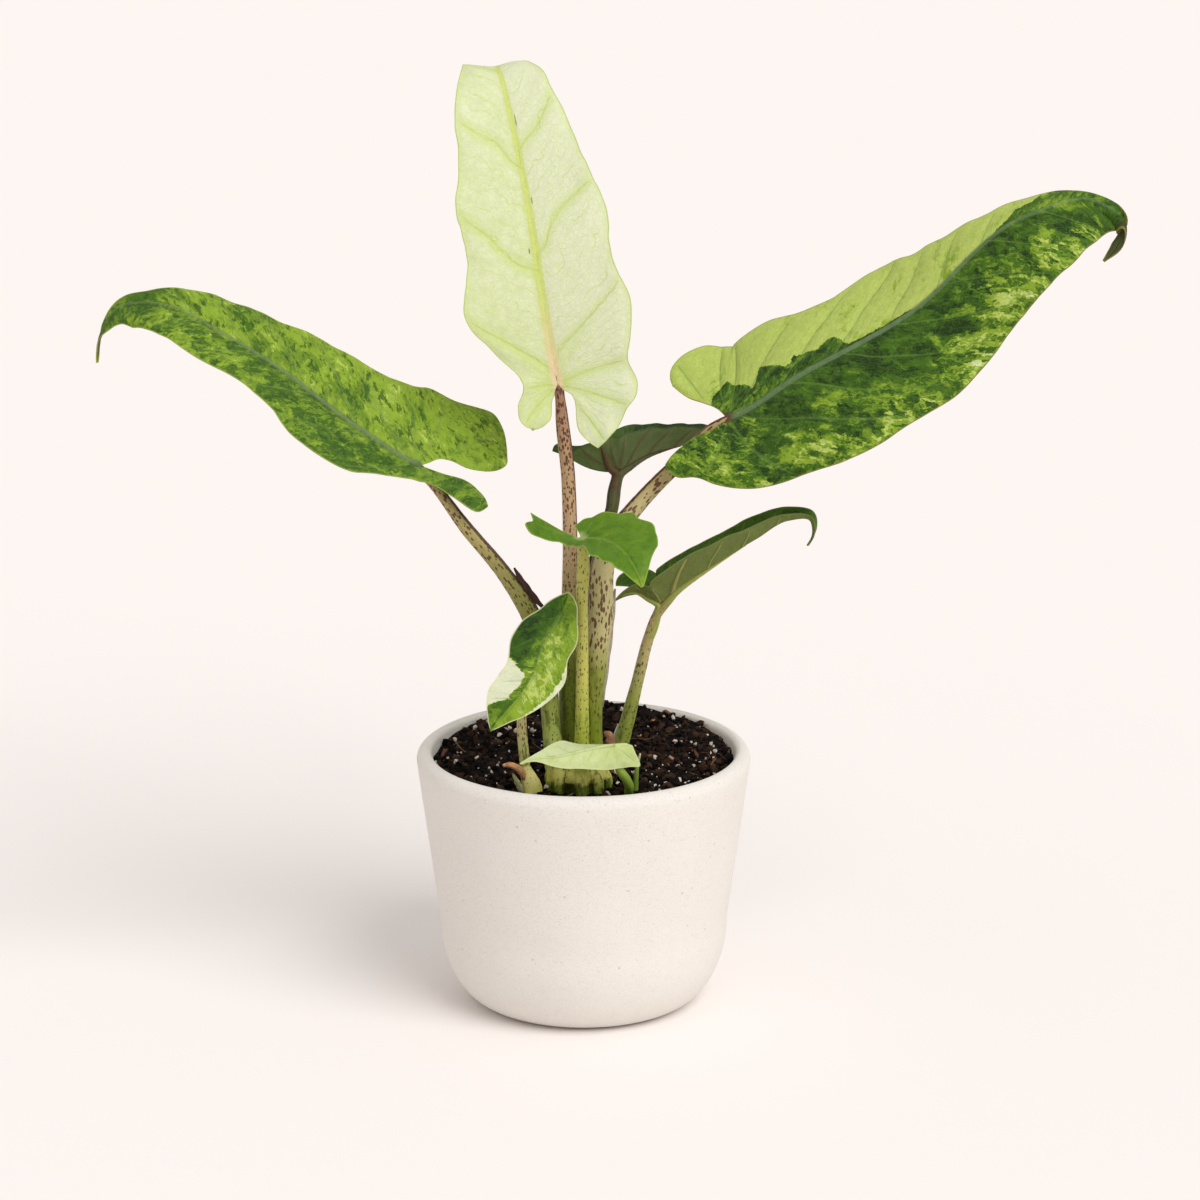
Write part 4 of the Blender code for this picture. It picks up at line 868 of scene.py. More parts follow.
def stalk_finish(name, skin, settings):
    """Stalk skin: a tint that changes along it, brown speckles drawn out lengthwise, dark olive blotches near
    the foot that are partly stains and partly painted shade, and a dark edge, which on the rootstock also
    carries painted shade and a darkening near the soil.
    """
    f = Finish(name)
    place = f.attribute("skin_place", "Vector")
    density, edge, share = f.attributes("speckle", "edge", "share")
    size = settings.speckle_size / MM * skin.get("coarse", 1.0)
    spots = f.cells(f.drawn_out(place, 1 / skin["stretch"]), 0.86 / size)
    chance, _, _ = f.parts(spots.twin("Color"))
    ragged = f.noise(place, 2.2, 3, 0.6)
    crowd = f.noise(f.drawn_out(place, 0.3), 0.22, 2) - 0.5
    spread = density * (settings.speckles * 0.62) + 0.02 + crowd * density * 0.7
    speckles = f.rise(spots + (ragged - 0.5) * 0.2 - spread * f.rise(chance, 0.95, 0.1), 0.1, -0.02)
    small = f.cells(f.drawn_out(place, 0.7), 1.7 / size)
    dots = f.rise(small + (ragged - 0.5) * 0.15, 0.2, 0.1) * f.rise(density, 0.1, 0.8)
    streaks = f.noise(f.drawn_out(place, 0.07), 1.3, 4, 0.6)
    fine = f.noise(f.drawn_out(place, 0.12), 4.5, 3, 0.6)
    # Dark olive blotches towards the foot: partly the stalks' own stains, partly painted shade low down
    # between the stalks
    foot_stain_and_shade = f.rise(f.noise(f.drawn_out(place, 0.3), 0.34, 4, 0.65), 0.5, 0.64) * f.rise(share, 0.42, 0.14)
    # The stalks' own dark edge; on the rootstock the same attribute carries painted shade where its stalks
    # meet and under its crown, and its darkening near the soil
    dark_edge_and_shade = f.rise(edge + (ragged - 0.5) * 0.5 + (fine - 0.5) * 0.4, 0.35, 0.62)
    speckle = srgb(*skin["speckle"])
    base = f.coats(f.attribute("tint", "Color"),
                   (f.rise(streaks, 0.35, 0.7) * 0.35, srgb(214, 206, 160), "SOFT_LIGHT"),
                   (f.rise(fine, 0.6, 0.3) * 0.35, srgb(70, 66, 40), "SOFT_LIGHT"),
                   (dark_edge_and_shade * 0.85, srgb(*skin["edge_colour"])),
                   (foot_stain_and_shade * 0.72, srgb(66, 78, 14)),
                   (dots * 0.55, speckle),
                   (speckles * 0.88, speckle))
    height = streaks * 0.7 + fine * 0.35 - speckles * 0.12
    return f.surface(base, f.rise(fine, 0.3, 0.8) * 0.12 + 0.42, 0.2, Normal=f.bump(height, 0.0003, 0.7),
                     Subsurface_Weight=0.08, Subsurface_Scale=0.001, Subsurface_Radius=(0.9, 1.0, 0.5))


def dry_finish(name, shade):
    """A papery scale with lengthwise ribs and darker, torn ends."""
    f = Finish(name)
    place = f.attribute("skin_place", "Vector")
    ribs = f.noise(f.drawn_out(place, 0.1), 2.4, 4, 0.65)
    blotch = f.noise(place, 0.5, 3, 0.6)
    base = f.coats(srgb(*shade),
                   (f.rise(ribs, 0.35, 0.65), shaded(shade, 0.62)),
                   (f.rise(blotch, 0.5, 0.75) * 0.5, shaded(shade, 1.25)),
                   (f.rise(f.attribute("edge"), 0.7, 1.0) * 0.6, shaded(shade, 0.4)))
    return f.surface(base, f.rise(blotch, 0.2, 0.8) * 0.2 + 0.55, 0.3, Normal=f.bump(ribs, 0.0004))


def floor_finish(settings):
    """A matte studio floor."""
    f = Finish("studio_floor")
    floor = tuple(settings.floor)
    base = f.blend(f.noise(f.place(), 3.0, 2, 0.5) * 0.15, floor, tuple(c * 0.98 for c in floor))
    return f.surface(base, 0.9, 0.1)


# ---------------------------------------------------------------- curves and leaf shape

def knots_of(points):
    """How far each point of a route is from its start, along the chords."""
    points = np.asarray(points, float)
    steps = np.linalg.norm(np.diff(points[:, :3], axis=0), axis=1)
    return np.concatenate([[0], np.cumsum(steps)])


def curve_at(points, distance):
    """Reads a smooth curve at distances along its points' chords. It runs on straight past its ends."""
    points = np.asarray(points, float)
    knots = knots_of(points)
    slopes = np.diff(points, axis=0) / np.diff(knots)[:, None]
    tangents = np.empty_like(points)
    before, after = np.diff(knots)[:-1, None], np.diff(knots)[1:, None]
    tangents[1:-1] = (slopes[:-1] * after + slopes[1:] * before) / (before + after)
    tangents[0] = 2 * slopes[0] - tangents[1] if len(points) > 2 else slopes[0]
    tangents[-1] = 2 * slopes[-1] - tangents[-2] if len(points) > 2 else slopes[0]
    distance = np.asarray(distance, float)
    inside = np.clip(distance, 0, knots[-1])
    i = np.clip(np.searchsorted(knots, inside, side="right") - 1, 0, len(points) - 2)
    span = (knots[i + 1] - knots[i])[..., None]
    t = (inside - knots[i])[..., None] / span
    found = (2 * t**3 - 3 * t**2 + 1) * points[i] + (3 * t**2 - 2 * t**3) * points[i + 1]
    found += span * ((t**3 - 2 * t**2 + t) * tangents[i] + (t**3 - t**2) * tangents[i + 1])
    found += np.minimum(distance, 0)[..., None] * tangents[0]
    found += np.maximum(distance - knots[-1], 0)[..., None] * tangents[-1]
    return found


def along(points, shares):
    """Points of the smooth curve at shares of its length, from 0 to 1."""
    return curve_at(points, np.asarray(shares) * knots_of(points)[-1])


def heading(route, share, reach):
    """The directions of a route at shares of its length, each read over a reach to both sides."""
    ahead, behind = along(route, np.minimum(share + reach, 1)), along(route, np.maximum(share - reach, 0))
    return unit((ahead - behind)[:, :3])


def unit(vectors):
    return vectors / np.linalg.norm(vectors, axis=-1, keepdims=True)


def smooth(value, low, high):
    """0 at low, 1 at high, smooth between, and level past both."""
    share = np.clip((value - low) / (high - low), 0, 1)
    return share * share * (3 - 2 * share)


def fbm(points, scale, octaves=3, seed=0.0):
    """Smooth noise at points in millimetres, about -1 to 1."""
    offset = Vector((seed, seed * 1.7, seed * 2.3))
    return np.array([noise.fractal(Vector(p) / scale + offset, 1.0, 2.0, octaves) for p in points])


def flat_places(out, ahead):
    return np.stack([out, ahead, 0 * out], axis=1)


def spine_reach(leaf):
    """How far along its spine a blade's midrib starts and ends."""
    knots = knots_of(leaf["spine"])
    return knots[leaf.get("notch_points", 1)], knots[-1]


def blade_length(leaf):
    start, end = spine_reach(leaf)
    return end - start


def blade_frame(leaf, out, ahead):
    """Where flat blade coordinates lie in space, and which way the upper side faces there."""
    spine = leaf["spine"]
    start, end = spine_reach(leaf)
    middle = curve_at(spine, ahead + start)
    beyond = np.logaddexp(0, (ahead - leaf.get("stiff_from", NEVER)) / STIFF_ONSET) * STIFF_ONSET
    turned = ahead - beyond * smooth(np.abs(out), 2, 8) + start
    before, after = (curve_at(spine, turned + reach) for reach in (-FORWARD_REACH, FORWARD_REACH))
    forward = unit(after - before)
    facing = np.asarray(leaf["up"], float)
    place = np.clip(turned / end, 0, 1) * (len(facing) - 1)
    first = np.clip(place.astype(int), 0, len(facing) - 2)
    share = (place - first)[..., None]
    up = facing[first] * (1 - share) + facing[first + 1] * share
    up = unit(up - (up * forward).sum(-1, keepdims=True) * forward)
    right = np.cross(forward, up)
    lift = np.radians(leaf["lift"])[:, (out > 0).astype(int)]
    towards_tip = np.clip(ahead / (end - start), 0, 1)
    angle = lift[0] * (1 - towards_tip) + lift[1] * towards_tip
    angle *= np.clip((1 - towards_tip) / FLAT_TIP_SHARE, 0, 1)
    points = middle + (out * np.cos(angle))[..., None] * right + (np.abs(out) * np.sin(angle))[..., None] * up
    return points, up


def flat_half(leaf, side, row, column):
    """Flat coordinates of one half, and their distance from its edge."""
    notch, margin = leaf[side]
    notch, margin = np.array(notch, float), np.array([notch[-1], *margin], float)
    shares = np.linspace(0, 1, 200)
    shoulder = shares[np.flatnonzero(along(margin, shares)[:, 1] < 0)[-1]]
    beside_notch = row < SINUS_SHARE
    low = np.clip(row / SINUS_SHARE, 0, 1)
    high = np.clip((row - SINUS_SHARE) / (1 - SINUS_SHARE), 0, 1)
    midrib = np.stack([0 * high, high * blade_length(leaf)], axis=-1)
    inner = np.where(beside_notch[:, None], along(notch, 1 - low), midrib)
    outer = along(margin, np.where(beside_notch, low * shoulder, shoulder + high * (1 - shoulder)))
    spots = flat_places(outer[:, 0], outer[:, 1])
    tremor = np.stack([fbm(spots, 12.0, 2, seed + len(side)) for seed in (1.0, 2.0)], axis=1)
    outer = outer + leaf.get("ragged", 0.5) * tremor * smooth(outer[:, :1], 1.5, 6)
    flat = inner + (outer - inner) * column[:, None]
    gap = np.linalg.norm(outer - flat, axis=1)
    if np.abs(notch[:, 0]).max() > 0:
        gap = np.where(beside_notch, np.minimum(gap, np.linalg.norm(inner - flat, axis=1)), gap)
    return flat, gap


def vein_field(leaf, out, ahead):
    """Numbers the laterals: whole numbers lie on a vein. Returns that, and the millimetres per vein."""
    first, spacing, slope, curl, fan = leaf["veins"]
    across = np.abs(out)
    drift = fbm(flat_places(out, ahead), 34.0, 2, spacing) * 0.16 * spacing * smooth(across, 0, 9)
    climb = slope * across + curl * across**2
    start = ahead - climb - first + drift
    floor = np.maximum(across, 1e-3)
    turn = np.degrees(np.arctan2(climb + first, floor) - np.arctan2(ahead, floor))
    in_fan = start < 0
    straight = spacing / math.hypot(1, slope)
    fanned = np.maximum(np.radians(fan) * np.hypot(out, ahead), 2.0)
    blending = smooth(-start, 0, 6)
    phase = np.where(in_fan, -turn / fan, start / spacing) + np.where(out > 0, 0.0, 0.18)
    pitch = np.where(in_fan, straight * (1 - blending) + fanned * blending, straight)
    return phase, pitch


# ---------------------------------------------------------------- modelling helpers

def select_only(*pieces):
    """Selects these pieces and nothing else, and makes the first one active."""
    if bpy.context.mode != "OBJECT":
        bpy.ops.object.mode_set(mode="OBJECT")
    bpy.ops.object.select_all(action="DESELECT")
    for piece in pieces:
        piece.select_set(True)
    if pieces:
        bpy.context.view_layer.objects.active = pieces[0]


def named(name):
    """Names the object that was just added and returns it."""
    made = bpy.context.object
    made.name = made.data.name = name
    return made


def read(items, field, size):
    """A field of a mesh's vertices as numbers, a row for each vertex where it holds more than one."""
    found = np.empty(len(items) * size, np.float32)
    items.foreach_get(field, found)
    found = found.astype(float)
    return found.reshape(-1, size) if size > 1 else found


def places_of(mesh):
    return read(mesh.vertices, "co", 3)


def normals_of(mesh):
    return read(mesh.vertex_normals, "vector", 3)


def painted(mesh, name):
    layer = mesh.attributes[name]
    size, field = next((size, field) for size, (kind, field) in LAYERS.items() if kind == layer.data_type)
    return read(layer.data, field, size)


def paint(mesh, name, values):
    """Stores values at the vertices, under a name that materials read."""
    values = np.asarray(values, np.float32).reshape(len(mesh.vertices), -1)
    kind, field = LAYERS[values.shape[1]]
    layer = mesh.attributes.get(name) or mesh.attributes.new(name, kind, "POINT")
    layer.data.foreach_set(field, values.ravel())


def paint_all(mesh, name, value):
    paint(mesh, name, np.full(len(mesh.vertices), value))


def paint_tint(mesh, tint):
    paint(mesh, "tint", np.concatenate([tint, np.ones((len(tint), 1))], axis=1))


def move_to(mesh, points):
    mesh.vertices.foreach_set("co", np.asarray(points, np.float32).ravel())
    mesh.update()


def roughen(piece, height, scale, octaves, seed, stretch=1.0):
    """Moves the skin in and out by a noise up to a height, all in millimetres."""
    points = places_of(piece.data) / MM
    bumps = fbm(points * (1, 1, stretch), scale, octaves, seed) * height
    move_to(piece.data, (points + normals_of(piece.data) * bumps[:, None]) * MM)


def grid(name, rows, columns):
    """A fine flat grid, and how far along and across it each vertex lies, from 0 to 1."""
    select_only()
    bpy.ops.mesh.primitive_grid_add(x_subdivisions=rows, y_subdivisions=columns, size=2)
    piece = named(name)
    shares = (places_of(piece.data)[:, :2] + 1) / 2
    return piece, shares[:, 0], shares[:, 1]


def in_edit_mode(piece, *steps):
    """Runs operators on all of a piece in edit mode."""
    select_only(piece)
    bpy.ops.object.mode_set(mode="EDIT")
    bpy.ops.mesh.select_mode(type="VERT")
    bpy.ops.mesh.select_all(action="SELECT")
    for step in steps:
        step()
    bpy.ops.object.mode_set(mode="OBJECT")


def merge():
    bpy.ops.mesh.remove_doubles(threshold=0.01 * MM)


def face_out():
    bpy.ops.mesh.normals_make_consistent(inside=False)


def select_open_edges():
    bpy.ops.mesh.select_mode(type="EDGE")
    bpy.ops.mesh.select_all(action="DESELECT")
    bpy.ops.mesh.select_non_manifold()


def apply_modifier(piece, kind, **settings):
    """Adds a modifier, sets it and applies it."""
    modifier = piece.modifiers.new(kind.capitalize(), kind)
    for key, value in settings.items():
        setattr(modifier, key, value)
    select_only(piece)
    bpy.ops.object.modifier_apply(modifier=modifier.name)


def join(pieces, name):
    select_only(*pieces)
    bpy.ops.object.join()
    return named(name)


def finish_piece(piece, material, slot, *nodes, angle=None):
    """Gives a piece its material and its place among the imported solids."""
    piece.data.materials.clear()
    piece.data.materials.append(material)
    select_only(piece)
    if angle is None:
        bpy.ops.object.shade_smooth()
    else:
        bpy.ops.object.shade_smooth_by_angle(angle=math.radians(angle))
    bpy.ops.object.transform_apply(location=True, rotation=True, scale=True)
    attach(piece, "root")
    if nodes:
        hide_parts(*nodes)
    return piece


# ---------------------------------------------------------------- pot

def wall_radius(height):
    return RIM_RADIUS - WALL_LEAN * (POT_HEIGHT - RIM_DROP - height)


def inner_radius(height):
    return wall_radius(height) - WALL


def arc(centre, radii, start, end, points):
    angles = np.radians(np.linspace(start, end, points))
    return [(centre[0] + radii[0] * math.cos(a), centre[1] + radii[1] * math.sin(a)) for a in angles]


def pot_rings():
    """The pot's (radius, height) rings from its underside, up the outside, and down to the inner floor."""
    foot = wall_radius(FOOT_ROUND_HEIGHT) - FOOT_ROUND_WIDTH
    outside = arc((foot, FOOT_ROUND_HEIGHT), (FOOT_ROUND_WIDTH, FOOT_ROUND_HEIGHT), -90, 0, 22)
    wall = [(wall_radius(h), h) for h in np.linspace(FOOT_ROUND_HEIGHT, POT_HEIGHT - RIM_DROP, 14)[1:-1]]
    outer_lip = wall_radius(POT_HEIGHT - RIM_DROP)
    rim = arc((outer_lip - RIM_DROP, POT_HEIGHT - RIM_DROP), (RIM_DROP, RIM_DROP), 0, 90, 10)
    lip = POT_HEIGHT - RIM_INNER_DROP
    rim += arc((inner_radius(lip) + RIM_INNER_DROP, lip), (RIM_INNER_DROP, RIM_INNER_DROP), 90, 180, 7)
    shoulder = FLOOR + INNER_ROUND_HEIGHT
    inner_wall = [(inner_radius(h), h) for h in np.linspace(lip, shoulder, 10)[1:-1]]
    inside = arc((inner_radius(shoulder) - INNER_ROUND_WIDTH, shoulder),
                 (INNER_ROUND_WIDTH, INNER_ROUND_HEIGHT), 0, -90, 10)
    return outside + wall + rim + inner_wall + inside


def lathe(name, rings, steps):
    """A turned body: a circle that is extruded and resized from ring to ring, with both ends filled."""
    select_only()
    radius, height = rings[0]
    bpy.ops.mesh.primitive_circle_add(vertices=steps, radius=radius * MM, fill_type="NGON",
                                      location=(0, 0, height * MM))
    piece = named(name)
    bpy.ops.object.transform_apply(location=True)
    bpy.ops.object.mode_set(mode="EDIT")
    bpy.ops.mesh.select_mode(type="EDGE")
    bpy.ops.mesh.select_all(action="SELECT")
    bpy.ops.mesh.inset(thickness=radius * 0.5 * MM)
    select_open_edges()
    for before, (radius, height) in zip(rings, rings[1:]):
        bpy.ops.mesh.extrude_edges_move(TRANSFORM_OT_translate={"value": (0, 0, (height - before[1]) * MM)})
        share = radius / before[0]
        bpy.ops.transform.resize(value=(share, share, 1), center_override=(0, 0, height * MM))
    bpy.ops.mesh.edge_face_add()
    bpy.ops.mesh.inset(thickness=radius * 0.5 * MM)
    bpy.ops.mesh.select_all(action="SELECT")
    face_out()
    bpy.ops.object.mode_set(mode="OBJECT")
    return piece


class ALOCASIA_OT_pot(bpy.types.Operator):
    """Makes the stoneware pot"""

    bl_idname = "alocasia.pot"
    bl_label = "Pot"

    def execute(self, context):
        settings = context.scene.alocasia_stoneware
        pot = lathe("Pot", pot_rings(), settings.steps)
        points = places_of(pot.data) / MM
        wobble = fbm(points, 34.0, 2, 3.1) * settings.unevenness / MM
        wobble *= smooth(points[:, 2], 2.0, 12.0)
        outward = points * (1, 1, 0)
        outward /= np.maximum(np.linalg.norm(outward, axis=1, keepdims=True), 1)
        move_to(pot.data, (points + outward * wobble[:, None]) * MM)
        finish_piece(pot, stoneware_finish(settings), "stoneware", "pot", angle=40)
        return {"FINISHED"}


# ---------------------------------------------------------------- soil

def soil_height(x, y):
    bump = np.sin(x / 9.0) * np.cos(y / 11.0)
    return SOIL_LEVEL + SOIL_SLOPE * y + 0.7 * bump


def clod_height(place):
    """How high the clods under a place of the soil's top stand, coarse ones and finer ones on them."""
    spot = Vector((place[0], place[1], 0))
    return sum(height * math.sqrt(max(0, 1 - (noise.voronoi(spot / size + Vector(shift))[0][0] / reach) ** 2))
               for height, size, shift, reach in SOIL_CLODS)


def soil_body():
    """The soil: a disc broken into clods, with sides that go down the pot's wall to its floor."""
    body, column, row = grid("Soil", SOIL_DIVISIONS, SOIL_DIVISIONS)
    column, row = 2 * column - 1, 2 * row - 1
    x = column * np.sqrt(1 - row**2 / 2)
    y = row * np.sqrt(1 - column**2 / 2)
    top_edge = edge = inner_radius(SOIL_LEVEL) - SOIL_CLEARANCE
    for _ in range(2):
        level = soil_height(x * edge, y * edge)
        edge = inner_radius(level) - SOIL_CLEARANCE
    points = np.stack([x * edge, y * edge, level], axis=1)
    lumps = np.array([clod_height(place) for place in points])
    points[:, 2] += (lumps - 1.5) * smooth(np.hypot(x, y), 1.0, 0.985) + fbm(points, 15.0, 2, 1.0) * 0.8
    move_to(body.data, points * MM)
    paint(body.data, "shade", np.clip(0.25 + 0.25 * fbm(points, 5.0, 2, 6.0), 0, 1))

    def down_the_wall():
        select_open_edges()
        for level, share in SOIL_SIDES:
            bpy.ops.mesh.extrude_edges_move()
            bpy.ops.object.mode_set(mode="OBJECT")
            wanted = min(top_edge * share, inner_radius(level) - SOIL_CLEARANCE)
            for vertex in body.data.vertices:
                if vertex.select:
                    spot = vertex.co
                    shrink = wanted * MM / math.hypot(spot.x, spot.y)
                    vertex.co = (spot.x * shrink, spot.y * shrink, level * MM)
            bpy.ops.object.mode_set(mode="EDIT")
        bpy.ops.mesh.edge_face_add()
        bpy.ops.mesh.select_all(action="SELECT")
        face_out()

    in_edit_mode(body, down_the_wall)
    return body


def divided_cube(name):
    select_only()
    bpy.ops.mesh.primitive_cube_add(size=2)
    cube = named(name)
    in_edit_mode(cube, lambda: bpy.ops.mesh.subdivide(number_cuts=1))
    return cube, places_of(cube.data)


def clod_shapes(rng):
    """Small irregular clods, each a cube divided once and pulled about."""
    shapes = []
    for index in range(CLOD_SHAPES):
        clod, points = divided_cube(f"clod_{index}")
        points = unit(points) * (0.6 + 0.7 * rng.random(len(points)))[:, None]
        move_to(clod.data, points * rng.uniform(0.5, 1.3, 3))
        shapes.append(clod)
    return shapes


def chip_shape(rng):
    """A flat splinter of bark."""
    chip, points = divided_cube("bark_chip")
    points += rng.uniform(-0.22, 0.22, points.shape)
    move_to(chip.data, points * (1.0, 0.42, 0.2))
    return chip


def fibre_shape():
    """A thin bent root fibre: a rod that is extruded in steps and drawn out along a wave."""
    select_only()
    bpy.ops.mesh.primitive_cylinder_add(vertices=4, radius=1, depth=2, end_fill_type="NGON")
    fibre = named("fibre")

    def lengthen():
        bpy.ops.mesh.select_all(action="DESELECT")
        bpy.ops.mesh.select_mode(type="FACE")
        bpy.ops.object.mode_set(mode="OBJECT")
        for face in fibre.data.polygons:
            face.select = face.normal.z > 0.9
        bpy.ops.object.mode_set(mode="EDIT")
        for _ in range(5):
            bpy.ops.mesh.extrude_region_move(TRANSFORM_OT_translate={"value": (0, 0, 2)})

    in_edit_mode(fibre, lengthen)
    points = places_of(fibre.data)
    share = (points[:, 2] - points[:, 2].min()) / np.ptp(points[:, 2])
    thin = 0.03 * (1 - 0.5 * share)
    bent = np.stack([points[:, 0] * thin + 0.25 * np.sin(3.2 * share), 2 * share - 1,
                     points[:, 1] * thin + 0.12 * np.sin(5 * share + 1)], axis=1)
    move_to(fibre.data, bent)
    in_edit_mode(fibre, face_out)
    return fibre


def scatter(name, shapes, number, rng, radius, lift, tumble):
    """Copies the shapes over the soil, each copy turned, sized and shaded by chance, as one piece."""
    copies = []
    while len(copies) < number:
        distance = SCATTER_REACH * math.sqrt(rng.random())
        turn = rng.uniform(0, 2 * math.pi)
        x, y = distance * math.cos(turn), distance * math.sin(turn)
        shade, size = rng.uniform(0, 1), radius * rng.lognormal(0, SIZE_SPREAD)
        spin = [rng.uniform(-tumble, tumble), rng.uniform(-tumble, tumble), rng.uniform(0, 2 * math.pi)]
        shape = shapes[int(rng.integers(len(shapes)))]
        if any(math.hypot(x - a, y - b) < r + size for a, b, r in SOIL_OPENINGS):
            continue
        size = min(size, SIZE_LIMIT * radius, SCATTER_EDGE - distance)
        mesh = shape.data.copy()
        level = soil_height(x, y) + lift * size
        turned = (Matrix.Rotation(spin[2], 4, "Z") @ Matrix.Rotation(spin[1], 4, "Y")
                  @ Matrix.Rotation(spin[0], 4, "X"))
        mesh.transform(Matrix.Translation(Vector((x, y, level)) * MM) @ turned @ Matrix.Scale(size * MM, 4))
        paint_all(mesh, "shade", shade)
        copy = bpy.data.objects.new(name, mesh)
        bpy.context.scene.collection.objects.link(copy)
        copies.append(copy)
    return join(copies, name)


class ALOCASIA_OT_soil(bpy.types.Operator):
    """Makes the soil with its crumbs, bark, white grains and fibres"""

    bl_idname = "alocasia.soil"
    bl_label = "Soil"

    def execute(self, context):
        settings = context.scene.alocasia_soil
        rng = np.random.default_rng(settings.seed)
        mix = soil_finish(settings)
        finish_piece(soil_body(), mix, "soil", "soil")

        def lay(name, shapes, number, size, lift, tumble, finish, angle):
            radius = size * (settings.crumb / MM)
            loose = scatter(name, shapes, number, rng, radius, lift, tumble)
            finish_piece(loose, finish, "soil", angle=angle)

        clods = clod_shapes(rng)
        lay("Soil_crumbs", clods, settings.crumbs, 1.0, 0.25, 3.1, mix, 60)
        white = loose_finish("perlite", srgb(196, 180, 164), tuple(settings.perlite), 0.8, 1500.0, 0.0003)
        lay("Perlite", clods, settings.grains, 0.52, 1.5, 3.1, white, 50)
        chip = chip_shape(rng)
        brown = loose_finish("bark", srgb(98, 62, 40), tuple(settings.bark), 0.8, 700.0, 0.0006)
        lay("Bark_chips", [chip], settings.chips, 1.05, 0.6, 1.2, brown, 35)
        fibre = fibre_shape()
        tan = loose_finish("fibre", srgb(62, 44, 32), srgb(150, 122, 92), 0.75, 600.0, 0.0003)
        lay("Root_fibres", [fibre], settings.fibres, 3.4, 0.42, 0.35, tan, 60)
        for shape in [*clods, chip, fibre]:
            bpy.data.objects.remove(shape, do_unlink=True)
        return {"FINISHED"}


# ---------------------------------------------------------------- leaves

def half_blade(name, leaf, side, sign):
    """One half of a blade: a fine grid laid out flat, then bent into place."""
    half, row, column = grid(name, leaf["rows"], leaf["columns"])
    flat, gap = flat_half(leaf, side, row, column ** 1.25)
    out, ahead = sign * flat[:, 0], flat[:, 1]
    points, _ = blade_frame(leaf, out, ahead)
    move_to(half.data, points * MM)
    paint(half.data, "blade_place", flat_places(out, ahead))
    paint(half.data, "rim_gap", gap)
    return half


def patches_of(patches, out, ahead, start):
    """Adds soft patches to a starting value at each vertex."""
    value = np.zeros(len(out)) + start
    for centre_out, centre_ahead, reach_out, reach_ahead, change in patches:
        gap = ((out - centre_out) / reach_out) ** 2 + ((ahead - centre_ahead) / reach_ahead) ** 2
        value = value + change * np.exp(-gap)
    return value


def pane_of(panes, out, ahead):
    """How many millimetres each vertex lies inside the nearest pane, and that pane's tone."""
    gap, tone = np.full(len(out), -20.0), np.zeros(len(out))
    spots = np.stack([out, ahead], axis=1)
    for pane_tone, outline in panes:
        corners = np.asarray(outline, float)
        nearest, crossings = np.full(len(out), 1e3), np.zeros(len(out), int)
        for start, end in zip(corners, np.roll(corners, -1, axis=0)):
            side = end - start
            share = np.clip((spots - start) @ side / (side @ side), 0, 1)
            nearest = np.minimum(nearest, np.linalg.norm(spots - start - share[:, None] * side, axis=1))
            straddles = (start[1] > ahead) != (end[1] > ahead)
            rise = np.where(straddles, (ahead - start[1]) / (side[1] or 1.0), 0)
            crossings += straddles & (out < start[0] + rise * side[0])
        inside = np.where(crossings % 2 == 1, nearest, -nearest)
        tone = np.where(inside > gap, pane_tone, tone)
        gap = np.maximum(gap, inside)
    return gap, tone


def twice(values):
    """Values for both sheets of a blade that has been given a thickness."""
    return np.concatenate([values, values])


